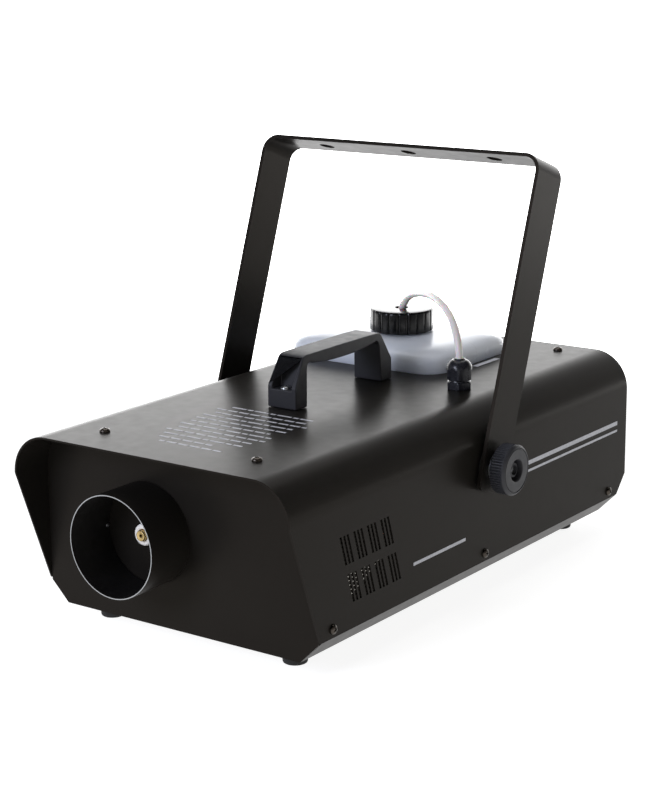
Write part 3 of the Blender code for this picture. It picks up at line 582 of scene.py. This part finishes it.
def coverSheet():
    outer, inner = coverLine(0.0), coverLine(sheet)
    bm = bmesh.new()
    rows = []
    for line, edge in ((outer, hoodEdge), (outer, rearEdge), (inner, rearEdge), (inner, hoodEdge)):
        rows.append([bm.verts.new((x, edge(o[1]), z)) for (x, z), o in zip(line, outer)])
    for a, b in zip(rows, rows[1:] + rows[:1]):
        for i in range(len(a) - 1):
            bm.faces.new((a[i], a[i + 1], b[i + 1], b[i]))
    bm.faces.new([row[0] for row in rows])
    bm.faces.new([row[-1] for row in reversed(rows)])
    return bm


# How far back a slot has leaned by the height z.
def slotLean(z):
    return (cover["slotFromZ"] - z) * cover["slotSlant"]


def addSlots(cuts, side):
    x, half = side * (halfWidth + 0.004), cover["slotWidth"] / 2
    for middle in cover["slotRows"]:
        low, high = middle - cover["slotHeight"] / 2, middle + cover["slotHeight"] / 2
        for i in range(cover["slotsInRow"]):
            group, place = divmod(i, cover["slotsInGroup"])
            y = cover["slotY"] + cover["slotGroup"] * group + cover["slotPitch"] * place
            lowY, highY = y + slotLean(low), y + slotLean(high)
            pushed(cuts, [(x, lowY - half, low), (x, lowY + half, low), (x, highY + half, high),
                          (x, highY - half, high)], (-side * 0.010, 0, 0))


# The inside is relieved round the vents, so that the guard sits close behind the slots.
def makeCover():
    piece = addPiece("top_cover_sheet", coverSheet(), coat, replaced=["top_cover"])
    relief, cuts = bmesh.new(), bmesh.new()
    (frontY, backY), (lowZ, highZ) = cover["reliefY"], cover["reliefZ"]
    for side in (-1, 1):
        block(relief, (side * (halfWidth - guard["skin"]), frontY, lowZ),
              (side * (halfWidth - cover["reliefInside"]), backY, highZ))
        addSlots(cuts, side)
        drill(cuts, cover["pivotHole"], cover["holeDepth"],
              Matrix.Translation((side * halfWidth, pivot.y, pivot.z)) @ outOfRight)
    cutAway(piece, relief)
    midX, midY, halfX, halfY = tank["top"]
    halfX, halfY = halfX + cover["tankClearance"], halfY + cover["tankClearance"]
    opening = roundedRect(halfX, halfY, cover["openingCorner"], midX, midY)
    pushed(cuts, [(x, y, topZ - cover["openingBelow"]) for x, y in opening], (0, 0, cover["openingHeight"]))
    drill(cuts, cover["glandHole"], cover["holeDepth"], Matrix.Translation((gland["x"], gland["y"], topZ)))
    cutAway(piece, cuts)
    softenEdges(piece, cover["edgeRadius"], 1, 50)


# Perforated guards behind the slots, and a pale fibre pad behind the right one

guard = {
    "columnPitch": cover["slotGroup"] / 4, "rowPitch": 0.00348, "hole": 0.00085, "columns": 22, "rows": 17,
    "bottom": 0.0368, "shift": 0.0006, "thick": 0.0003,
    "skin": 0.0007, "behind": 0.0003,      # what is left of the cover in front of it, and the gap to that
}
pad = {
    "behind": 0.00018, "thick": 0.0060, "edgeRadius": 0.0008,
    "outline": [(0.026, 0.0405), (0.040, 0.0425), (0.056, 0.0470), (0.070, 0.0530), (0.078, 0.0590),
                (0.070, 0.0640), (0.030, 0.0640)],
}


# Six-sided cells with a small hole in each, in columns that lean with the slots and step by half a hole.
def guardMesh(side):
    bm = bmesh.new()
    x = side * (halfWidth - guard["skin"] - guard["behind"])
    corners = {}

    def place(column, row):
        z = guard["bottom"] + row * guard["rowPitch"] / 2
        y = cover["slotY"] + guard["shift"] + (column - 1.5) * guard["columnPitch"] + slotLean(z)
        return Vector((x, y, z))

    def corner(column, row):
        if (column, row) not in corners:
            corners[column, row] = bm.verts.new(place(column, row))
        return corners[column, row]

    for column in range(guard["columns"]):
        for cell in range(guard["rows"]):
            row = 2 * cell + column % 2
            rim = [corner(column, row), corner(column + 1, row), corner(column + 1, row + 1),
                   corner(column + 1, row + 2), corner(column, row + 2), corner(column, row + 1)]
            middle = place(column + 0.5, row + 1)
            hole = [bm.verts.new(middle + guard["hole"] * (point.co - middle).normalized()) for point in rim]
            for k in range(6):
                m = (k + 1) % 6
                bm.faces.new((rim[k], rim[m], hole[m], hole[k]))
    return bm


def makeGuards():
    for side, tag in ((1, "right"), (-1, "left")):
        piece = addPiece("vent_guard_mesh_" + tag, guardMesh(side), coat, replaced=["vent_guard_" + tag],
                         smoothAngle=30)
        rule = piece.modifiers.new("thickness", "SOLIDIFY")
        rule.thickness, rule.offset = guard["thick"], 0.0
    x = halfWidth - guard["skin"] - guard["behind"] - pad["behind"]
    felt = pushed(bmesh.new(), [(x, y, z) for y, z in pad["outline"]], (-pad["thick"], 0, 0))
    softenEdges(addPiece("fibre_pad", felt, fibre), pad["edgeRadius"], 3)


# Guard tube with its soot, cut edge and rivets, then the sleeve and the nozzle inside it

tube = {
    "x": -0.027, "z": 0.0722, "radius": 0.0397, "wall": 0.0012, "length": 0.0432, "rim": 0.0005, "steps": 160,
    "burr": 0.0002, "film": 0.00005, "sootFrom": 0.0022, "sootShort": 0.0012, "edgeInset": 0.00025,
    "rivetAngles": (180, 60, -60), "rivetY": -0.0030, "rivetSunk": 0.0001,
}
rivetProfile = [(0.0016, -0.0004), (0.0016, 0.0004), (0.0011, 0.0009), (0.0004, 0.0011)]
sleeveProfile = [(0.0047, -0.0180), (0.0085, -0.0180), (0.0085, 0.0058), (0.0080, 0.0068), (0.0072, 0.0073),
                 (0.0052, 0.0073), (0.0047, 0.0069)]
nozzleProfile = [(0.0010, -0.0300), (0.0010, 0.0094), (0.0013, 0.0098), (0.0024, 0.0100), (0.0037, 0.0100),
                 (0.0041, 0.0097), (0.0043, 0.0092), (0.0043, 0.0060), (0.0043, -0.0300)]


def makeTube():
    at, steps = (tube["x"], 0.0, tube["z"]), tube["steps"]
    outer, inner, length = tube["radius"], tube["radius"] - tube["wall"], tube["length"]
    soft, burr, film, inset = tube["rim"], tube["burr"], tube["film"], tube["edgeInset"]
    wall = [(inner, gap), (outer, gap), (outer, length - soft), (outer - 0.3 * soft, length - 0.3 * soft),
            (outer - soft, length), (inner + burr, length), (inner, length - burr)]
    addPiece("tube_wall", spun(wall, steps), coat, replaced=["guard_tube"], at=at, turn=outOfFront)
    start, end = tube["sootFrom"], length - tube["sootShort"]
    lining = [(inner - film, start), (inner - film, end), (inner - 2 * film, end), (inner - 2 * film, start)]
    addPiece("tube_soot", spun(lining, steps), soot, at=at, turn=outOfFront)
    edge = [(inner + inset, length - burr), (outer - inset, length - burr), (outer - inset, length + film),
            (inner + inset, length + film)]
    addPiece("tube_cut_edge", spun(edge, steps), zinc, at=at, turn=outOfFront)
    reach = inner - tube["rivetSunk"]
    for degrees in tube["rivetAngles"]:
        a = math.radians(degrees)
        place = (tube["x"] + reach * math.cos(a), tube["rivetY"], tube["z"] + reach * math.sin(a))
        turn = Matrix.Rotation(-a - math.radians(90), 4, "Y")
        addPiece("tube_rivet_%d" % (degrees % 360), spun(rivetProfile, 24, ring=False), zinc, at=place,
                 turn=turn)
    addPiece("ceramic_sleeve", spun(sleeveProfile, 72), ceramic, replaced=["nozzle_sleeve"], at=at,
             turn=outOfFront)
    addPiece("nozzle_tip", spun(nozzleProfile, 48), brass, replaced=["nozzle"], at=at, turn=outOfFront)


# Tank: a narrower part down in the well, and a wider part from just under the cover up to the neck

tank = {
    "low": (-0.03385, 0.3499, 0.07015, 0.0551),         # middle x and y, half width and half depth
    "top": (-0.04235, 0.3594, 0.07865, 0.0646),
    "floorZ": 0.0045, "neckRadius": 0.0215, "neckWall": 0.0025, "neckBelowCap": 0.0038, "neckInsideZ": 0.1500,
    "steps": 120,
}
capAt = (Vector(((capBox[0].x + capBox[1].x) / 2, (capBox[0].y + capBox[1].y) / 2, 0))
         - Vector((0, origin.y, 0)))
capLow, capHigh = capBox[0].z - origin.z, capBox[1].z - origin.z
capRadius = (capBox[1].x - capBox[0].x) / 2


# One level of the tank: a rectangle whose corners are squarer as the power rises.
def tankLoop(z, part, grow, power):
    ring = []
    for k in range(tank["steps"]):
        angle = 2 * math.pi * (k + 0.5) / tank["steps"]
        c, s = math.cos(angle), math.sin(angle)
        ring.append((part[0] + (part[2] + grow) * math.copysign(abs(c) ** (2 / power), c),
                     part[1] + (part[3] + grow) * math.copysign(abs(s) ** (2 / power), s), z))
    return ring


# Rows filled in along a smooth curve through them all.
def smoothRows(rows, between=4):
    fine = []
    for i in range(len(rows) - 1):
        before, a, b, after = rows[max(i - 1, 0)], rows[i], rows[i + 1], rows[min(i + 2, len(rows) - 1)]
        for k in range(between):
            t = k / between
            fine.append(tuple(0.5 * (2 * p1 + (p2 - p0) * t + (2 * p0 - 5 * p1 + 4 * p2 - p3) * t * t
                                     + (3 * p1 - p0 - 3 * p2 + p3) * t ** 3)
                              for p0, p1, p2, p3 in zip(before, a, b, after)))
    return fine + [rows[-1]]


def makeTank():
    z0, low, top, r = tank["floorZ"], tank["low"], tank["top"], tank["neckRadius"]
    # height, how far the outline grows, and how square its corners are
    body = [(z0, -0.0100, 5.0), (z0 + 0.003, -0.0030, 6.0), (z0 + 0.010, 0.0, 7.0), (0.1000, 0.0, 7.0)]
    step = (0.1220, -0.0003, 7.0)
    upper = [(0.1490, 0.0, 7.0), (0.1530, -0.0010, 6.6), (0.1558, -0.0036, 6.0),
             (0.1580, -0.0085, 5.4), (0.1597, -0.0165, 4.8), (0.1607, -0.0280, 4.2)]
    rings = [tankLoop(z, low, grow, power) for z, grow, power in body]
    rings += [tankLoop(z, top, grow, power) for z, grow, power in [step] + smoothRows(upper)]
    rimZ, inside = capHigh - tank["neckBelowCap"], r - tank["neckWall"]
    for z, radius in ((0.1611, 0.0290), (0.1613, 0.0245), (0.1614, r), (rimZ, r), (rimZ, inside),
                      (tank["neckInsideZ"], inside)):
        rings.append(tankLoop(z, (capAt.x, capAt.y, radius, radius), 0.0, 2.0))
    bm = lofted(rings, capped=False)
    bm.faces.new(list(reversed(bm.verts[:tank["steps"]])))
    piece = addPiece("tank_blown", bm, milky, replaced=["tank"], smoothAngle=60)
    piece.data.validate()


# Screw cap: broad grips with narrow grooves between, and a hole for the hose

cap = {"bore": 0.0220, "hole": 0.0056, "topThick": 0.0024, "grips": 20, "grooveHalf": 0.13,
       "grooveDepth": 0.0011, "ribbedWithin": 0.0006, "steps": 240}


def makeCap():
    def ribs(angle, radius, height):
        if radius < capRadius - cap["ribbedWithin"]:
            return radius
        across = (angle / (2 * math.pi) * cap["grips"]) % 1.0
        groove = max(0.0, 1 - abs(across - 0.5) / cap["grooveHalf"])
        return radius - cap["grooveDepth"] * groove * groove * (3 - 2 * groove)
    hole, r, under = cap["hole"], capRadius, capHigh - cap["topThick"]
    profile = [(cap["bore"], capLow), (r - 0.0014, capLow), (r, capLow + 0.0010), (r, capHigh - 0.0022),
               (r - 0.0004, capHigh - 0.0010), (r - 0.0012, capHigh - 0.0002), (r - 0.0022, capHigh),
               (0.0180, capHigh), (hole + 0.0006, capHigh), (hole, capHigh - 0.0005), (hole, under),
               (cap["bore"], under)]
    addPiece("ribbed_cap", spun(profile, cap["steps"], rule=ribs), capBlack, "cap", ["tank_cap"], at=capAt,
             smoothAngle=30)


# Suction hose: out of the cap, over in an arch and down through the gland to the pump

hose = {
    "radius": 0.0030,
    # distance towards the gland, sideways, height; the last point stands over the gland
    "arch": [(-0.0032, 0.0, 0.0200), (-0.0032, 0.0, 0.0650), (-0.0032, 0.0, 0.1100), (-0.0032, 0.0, 0.1500),
             (-0.0032, 0.0, 0.1660), (-0.0022, 0.0, 0.1745), (0.0006, 0.0002, 0.1812), (0.0046, 0.0012, 0.1866),
             (0.0105, 0.0020, 0.1914), (0.0200, 0.0022, 0.1957), (0.0330, 0.0017, 0.1994),
             (0.0480, 0.0006, 0.2026), (0.0650, 0.0, 0.2052), (0.0820, 0.0, 0.2062), (0.0980, 0.0, 0.2052),
             (0.1126, 0.0, 0.2028), (0.1234, 0.0, 0.1993), (0.1327, 0.0, 0.1947), (0.1395, 0.0, 0.1890),
             (0.1446, 0.0, 0.1828), (0.1480, 0.0, 0.1761), (0.1496, 0.0, 0.1700), (None, 0.0, 0.1640)],
    "inside": [(0.0760, 0.2698, 0.1480), (0.0760, 0.2698, 0.1200), (0.0760, 0.2698, 0.0900),
               (0.0740, 0.2718, 0.0680), (0.0680, 0.2748, 0.0500), (0.0630, 0.2700, 0.0425),
               (0.0620, 0.2630, 0.0420), (0.0620, 0.2563, 0.0420)],
}


def makeHose():
    span = Vector((gland["x"], gland["y"], 0)) - capAt
    along = span.normalized()
    aside = Vector((-along.y, along.x, 0))
    points = [capAt + (span.length if s is None else s) * along + t * aside + Vector((0, 0, z))
              for s, t, z in hose["arch"]]
    points += [Vector(p) for p in hose["inside"]]
    fine = [Vector(p) + origin for p in smoothRows([tuple(p) for p in points], 5)]
    curve = bpy.data.curves.new("suction_hose", "CURVE")
    curve.dimensions, curve.bevel_depth, curve.bevel_resolution = "3D", hose["radius"], 5
    curve.use_fill_caps = True
    line = curve.splines.new("POLY")
    line.points.add(len(fine) - 1)
    for point, place in zip(line.points, fine):
        point.co = (*place, 1.0)
    line.use_smooth = True
    curve.materials.append(silicone)
    piece = bpy.data.objects.new("suction_hose", curve)
    bpy.context.scene.collection.objects.link(piece)
    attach(piece, "housing")
    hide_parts("fluid_hose")


# Cable gland: hexagon base, hexagon dome nut and a split collet round the hose

gland = {
    "x": 0.0760, "y": 0.2698, "clearance": 0.0003, "baseFlats": 0.0188, "baseNeck": 0.0085,
    "nutFlats": 0.0196, "nutNeck": 0.0090, "shoulderZ": 0.0155, "shoulderSlope": 0.35,
    "teeth": 10, "notch": 0.28, "notchDepth": 0.0006, "teethBeyond": 0.0040,
}


def hexagonRadius(angle, flats):
    return flats / 2 / math.cos(angle % (math.pi / 3) - math.pi / 6)


def makeGland():
    at, bore = (gland["x"], gland["y"], topZ), hose["radius"] + gland["clearance"]

    def baseRule(angle, radius, height):
        return radius if radius <= gland["baseNeck"] else min(radius, hexagonRadius(angle, gland["baseFlats"]))

    def domeRule(angle, radius, height):
        if radius <= gland["nutNeck"]:
            return radius
        shoulder = max(0.0, height - gland["shoulderZ"]) * gland["shoulderSlope"]
        return min(radius, hexagonRadius(angle, gland["nutFlats"]) + shoulder)

    def teethRule(angle, radius, height):
        inNotch = (angle / (2 * math.pi) * gland["teeth"]) % 1.0 < gland["notch"]
        return radius - gland["notchDepth"] if inNotch and radius > gland["teethBeyond"] else radius

    base = [(bore, -0.0120), (0.0074, -0.0120), (0.0074, 0.0003), (0.0100, 0.0003), (0.0108, 0.0008),
            (0.0108, 0.0056), (0.0100, 0.0062), (0.0082, 0.0064), (0.0078, 0.0078), (bore, 0.0078)]
    nut = [(bore + 0.0012, 0.0080), (0.0100, 0.0080), (0.0112, 0.0088), (0.0112, 0.0160), (0.0110, 0.0172),
           (0.0104, 0.0190), (0.0093, 0.0212), (0.0078, 0.0230), (0.0062, 0.0240), (bore + 0.0015, 0.0242),
           (bore + 0.0012, 0.0236)]
    collet = [(bore, 0.0225), (0.0042, 0.0225), (0.0044, 0.0246), (0.0041, 0.0252), (bore + 0.0001, 0.0252)]
    for name, profile, steps, rule, replaced in (("gland_base", base, 96, baseRule, ["gland_body"]),
                                                 ("gland_dome", nut, 96, domeRule, ["gland_nut"]),
                                                 ("gland_collet", collet, 80, teethRule, [])):
        addPiece(name, spun(profile, steps, rule=rule), nylonGloss, replaced=replaced, at=at, smoothAngle=25)


# Carrying handle: tapered grip, open pockets at both ends with a screw at the bottom

handle = {
    "x": -0.0032, "y0": 0.1345, "y1": 0.2687, "height": 0.0410, "half": 0.0138, "topHalf": 0.0120,
    "taperFrom": 0.017, "taperShort": 0.019, "edgeRadius": 0.0011, "pocketFloor": 0.0150, "pocketRoof": 0.0026,
    "screwYs": (0.1402, 0.2630), "screwZ": 0.0153, "screwRadius": 0.0042, "screwRise": 0.0024,
}


def handleHalf(z):
    t = min(1.0, max(0.0, (z - handle["taperFrom"]) / (handle["height"] - handle["taperShort"])))
    return handle["half"] + (handle["topHalf"] - handle["half"]) * t


def handleOutline(h, half):
    rise = [(-half, 0.0), (-half, 0.0175), (-half + 0.0122, h - 0.0024), (-half + 0.0140, h - 0.0007),
            (-half + 0.0175, h), (-half * 0.5, h + 0.0002)]
    under = [(-half * 0.20, h - 0.0100), (-half * 0.38, h - 0.0094), (-half * 0.62, h - 0.0075),
             (-half + 0.0215, h - 0.0065), (-half + 0.0192, h - 0.0070), (-half + 0.0178, h - 0.0085),
             (-half + 0.0170, h - 0.0115), (-half + 0.0155, 0.0)]
    return (rise + [(0.0, h + 0.0003)] + [(-a, b) for a, b in reversed(rise)]
            + [(-a, b) for a, b in reversed(under)] + [(0.0, h - 0.0101)] + under)


def makeHandle():
    h, half = handle["height"], (handle["y1"] - handle["y0"]) / 2
    middle = Vector((handle["x"], (handle["y0"] + handle["y1"]) / 2, topZ + gap))
    outline = handleOutline(h, half)
    bm = lofted([[(side * handleHalf(b), a, b) for a, b in outline] for side in (-1, 1)])
    piece = addPiece("grip", bm, nylon, replaced=["carry_handle"], at=middle)
    low, high = handle["pocketFloor"], h - handle["pocketRoof"]
    # how far out of the end, height and half width of a pocket's corners
    pocket = ((0.004, low, 0.0094), (0.004, high, 0.0104), (-0.0146, high, 0.0100), (-0.0115, low, 0.0090))
    cuts = bmesh.new()
    for end in (-1, 1):
        lofted([[(handle["x"] + side * wide, middle.y + end * (half + out), middle.z + z)
                 for out, z, wide in pocket] for side in (-1, 1)], cuts)
    cutAway(piece, cuts)
    softenEdges(piece, handle["edgeRadius"], 3, 28)
    for y, tag in zip(handle["screwYs"], ("front", "rear")):
        addScrew("handle_bolt_" + tag, (handle["x"], y, topZ + handle["screwZ"]), Matrix.Identity(4),
                 handle["screwRadius"], handle["screwRise"], zinc, replaced=["handle_screw_" + tag])


# Domed cross-head screws, in the handle and on the cover

screws = {
    "radius": 0.0041, "rise": 0.0027, "topX": 0.0722, "topYs": (0.0050, 0.4400), "lift": 0.0001,
    "sideZ": 0.0245, "sideYs": (0.0153, 0.2233, 0.4312), "sideSmaller": 0.92,
    "domeSteps": 6, "crossWide": 0.13, "crossDeep": 0.52, "crossFrom": 0.35,
}


def addScrew(name, at, turn, radius, rise, material, replaced=()):
    dome = [(radius, 0.0), (radius, 0.18 * rise)]
    dome += [(radius * math.cos(a) ** 0.8 if a < 1.5 else 0.0002, rise * (0.2 + 0.8 * math.sin(a)))
             for a in [math.radians(90 * i / screws["domeSteps"]) for i in range(1, screws["domeSteps"] + 1)]]
    bm = spun(dome, 40, ring=False)
    matrix = Matrix.Translation(Vector(at)) @ turn
    bm.transform(matrix)
    piece = addPiece(name, bm, material, replaced=replaced, smoothAngle=40)
    wide, deep, star = screws["crossWide"], screws["crossDeep"], []
    for k in range(4):
        c, s = math.cos(math.radians(90 * k)), math.sin(math.radians(90 * k))
        for px, py in ((deep, -wide), (deep, wide), (wide, wide)):
            star.append(((px * c - py * s) * radius, (px * s + py * c) * radius, rise * screws["crossFrom"]))
    cross = pushed(bmesh.new(), star, (0, 0, rise * 1.2))
    cross.transform(matrix)
    cutAway(piece, cross)


def makeScrews():
    for side, tag in ((-1, "left"), (1, "right")):
        for y, end in zip(screws["topYs"], ("front", "rear")):
            addScrew("cover_bolt_%s_%s" % (end, tag), (side * screws["topX"], y, topZ + screws["lift"]),
                     Matrix.Rotation(0.5 + y * 3 + side, 4, "Z"), screws["radius"], screws["rise"], darkScrew,
                     ["cover_screw_%s_%s" % (end, tag)])
        for i, y in enumerate(screws["sideYs"]):
            turn = (outOfRight if side > 0 else outOfLeft) @ Matrix.Rotation(0.4 + i, 4, "Z")
            addScrew("side_bolt_%s_%d" % (tag, i + 1), (side * halfWidth, y, screws["sideZ"]), turn,
                     screws["radius"] * screws["sideSmaller"], screws["rise"], darkScrew)


# Yoke: bent flat bar with three clamp holes, its edges just broken

pivot = Vector((0.0, 0.228, 0.0955))
yoke = {
    "half": 0.1363, "top": 0.2473, "bend": 0.0144, "thick": 0.003, "strip": 0.0386, "end": -0.0205,
    "lean": 19.45, "holes": (-0.083, 0.0, 0.083), "holeRadius": 0.0065, "pivotHole": 0.0044, "holeDepth": 0.016,
    "endCorner": 0.007, "edgeRadius": 0.00045,
}


def makeYoke():
    half, top, bend, thick, wide = yoke["half"], yoke["top"], yoke["bend"], yoke["thick"], yoke["strip"] / 2
    corner = yoke["endCorner"]

    def bent(radius, offset):
        left = [(-half + offset, 0.0)]
        left += [(-half + bend - radius * math.cos(a), top - bend + radius * math.sin(a))
                 for a in [math.radians(5 * i) for i in range(19)]]
        return left + [(-x, z) for x, z in reversed(left)]
    end = [(yoke["end"] + corner - corner * math.sin(a), wide - corner + corner * math.cos(a))
           for a in [math.radians(9 * i) for i in range(11)]]
    rings = [[(-half, -w, z), (-half, w, z), (-half + thick, w, z), (-half + thick, -w, z)]
             for z, w in reversed(end)]
    for (outX, outZ), (inX, inZ) in zip(bent(bend, 0.0), bent(bend - thick, thick)):
        rings.append([(outX, -wide, outZ), (outX, wide, outZ), (inX, wide, inZ), (inX, -wide, inZ)])
    rings += [[(half, -w, z), (half, w, z), (half - thick, w, z), (half - thick, -w, z)] for z, w in end]
    bm = lofted(rings)
    lean = Matrix.Translation(pivot) @ Matrix.Rotation(-math.radians(yoke["lean"]), 4, "X")
    bm.transform(lean)
    piece = addPiece("yoke_bar", bm, coat, "yoke", ["yoke"])
    cuts = bmesh.new()
    for x in yoke["holes"]:
        drill(cuts, yoke["holeRadius"], yoke["holeDepth"], Matrix.Translation((x, 0, top)), 48)
    for side in (-1, 1):
        drill(cuts, yoke["pivotHole"], yoke["holeDepth"], Matrix.Translation((side * half, 0, 0)) @ outOfRight)
    cuts.transform(lean)
    cutAway(piece, cuts)
    softenEdges(piece, yoke["edgeRadius"], 2, 40)


# Clamp knobs: ribbed rim, chamfered face, deep round recess with the stud's boss in it

knob = {"radius": 0.0202, "back": 0.1383, "face": 0.1555, "ribs": 56, "ribDepth": 0.0010, "grooveHalf": 0.30,
        "ribbedBeyond": 0.0190, "smoothFace": 0.0028}
studProfile = [(0.0038, 0.1160), (0.0038, 0.1500), (0.0036, 0.1504), (0.0030, 0.1507)]


def makeKnobs():
    face, back, r = knob["face"], knob["back"], knob["radius"]

    def ribs(angle, radius, height):
        if radius < knob["ribbedBeyond"] or height > face - knob["smoothFace"]:
            return radius
        across = (angle / (2 * math.pi) * knob["ribs"]) % 1.0
        groove = max(0.0, 1 - abs(across - 0.5) / knob["grooveHalf"])
        return radius - knob["ribDepth"] * min(1.0, groove * 1.5)
    profile = [(0.0041, back), (0.0120, back), (0.0130, back + 0.0006), (0.0178, back + 0.0030),
               (r - 0.0004, back + 0.0040), (r, back + 0.0048), (r, face - 0.0030), (r, face - 0.0027),
               (r, face - 0.0020), (r - 0.0004, face - 0.0013), (r - 0.0012, face - 0.0005),
               (r - 0.0020, face - 0.0001), (0.0180, face - 0.0001), (0.0177, face - 0.0006),
               (0.0172, face - 0.0006), (0.0169, face - 0.0001), (0.0096, face - 0.0001),
               (0.0090, face - 0.0004), (0.0087, face - 0.0012), (0.0086, face - 0.0068),
               (0.0062, face - 0.0068), (0.0058, face - 0.0030), (0.0041, face - 0.0024)]
    for tag, turn in (("right", outOfRight), ("left", outOfLeft)):
        addPiece("ribbed_knob_" + tag, spun(profile, 448, rule=ribs), nylon, "clamp_" + tag, ["knob_" + tag],
                 at=pivot, turn=turn, smoothAngle=25)
        addPiece("clamp_stud_" + tag, spun(studProfile, 48, ring=False), zinc, "clamp_" + tag,
                 ["knob_stud_" + tag], at=pivot, turn=turn)


# Rubber feet, each with a plug that goes up through the tray

feet = {"x": 0.0887, "ys": (0.0254, 0.4206)}


def makeFeet():
    h = -(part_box("foot_front_left")[0].z - origin.z)
    profile = [(0.0035, -h + 0.0030), (0.0035, -h + 0.0006), (0.0041, -h), (0.0084, -h), (0.0090, -h + 0.0004),
               (0.0094, -h + 0.0012), (0.0102, -gap - 0.0010), (0.0099, -gap), (0.0029, -gap),
               (0.0029, 0.0030), (0.0020, 0.0040), (0.0006, 0.0040), (0.0006, -h + 0.0030)]
    for side, tag in ((-1, "left"), (1, "right")):
        for y, end in zip(feet["ys"], ("front", "rear")):
            addPiece("rubber_foot_%s_%s" % (end, tag), spun(profile, 56), rubber,
                     replaced=["foot_%s_%s" % (end, tag)], at=(side * feet["x"], y, 0))


# Printed marks: plain bars only, where the maker's lettering would be

marks = {
    "thick": 0.00006, "lift": 0.00001, "firstY": 0.008, "lineY": 0.0098, "lineHigh": 0.0024, "wordGap": 0.0018,
    "shortestWord": 0.005, "wordStep": 0.0042,
    "lines": ((-0.022, 0.036), (-0.030, 0.020), (-0.034, 0.040), (-0.040, 0.041), (-0.036, 0.046),
              (-0.042, 0.047), (-0.040, 0.036), (-0.043, 0.047), (-0.044, 0.044), (-0.040, 0.048),
              (-0.046, 0.045), (-0.038, 0.040)),         # where each line starts and ends across the top
    "sideBars": ((0.290, 0.445, 0.0815, 0.0850), (0.290, 0.445, 0.0755, 0.0775),
                 (0.120, 0.194, 0.0425, 0.0450)),        # y from and to, z from and to
    "tankBar": (0.0425, 0.0475, 0.345, 0.382),           # x from and to, y from and to
}


def makeMarks():
    top, side, label = bmesh.new(), bmesh.new(), bmesh.new()
    thick, high, z, x0 = marks["thick"], marks["lineHigh"], topZ + marks["lift"], halfWidth + marks["lift"]

    def topBar(bm, x, toX, y, toY):
        pushed(bm, [(x, y, z), (toX, y, z), (toX, toY, z), (x, toY, z)], (0, 0, thick))
    for i, (x, end) in enumerate(marks["lines"]):
        y = marks["firstY"] + marks["lineY"] * i
        while x < end - 0.003:
            size = (i * 7 + int((x + 0.1) * 9000)) % 3       # three word lengths in an uneven order
            word = min(marks["shortestWord"] + marks["wordStep"] * size, end - x)
            topBar(top, x, x + word, y, y + high)
            x += word + marks["wordGap"]
    addPiece("printed_bars_top", top, ink)
    for y0, y1, z0, z1 in marks["sideBars"]:
        pushed(side, [(x0, y0, z0), (x0, y1, z0), (x0, y1, z1), (x0, y0, z1)], (thick, 0, 0))
    addPiece("printed_bars_side", side, ink)
    topBar(label, *marks["tankBar"])
    addPiece("printed_bar_tank", label, ink)


makeCover()
makeGuards()
print("cover and guards ready")
makeTube()
makeTank()
makeCap()
makeHose()
makeGland()
print("tube, tank, hose and gland ready")
makeHandle()
makeScrews()
print("handle and screws ready")
makeYoke()
makeKnobs()
makeFeet()
print("yoke, knobs and feet ready")
makeMarks()
print("marks ready")
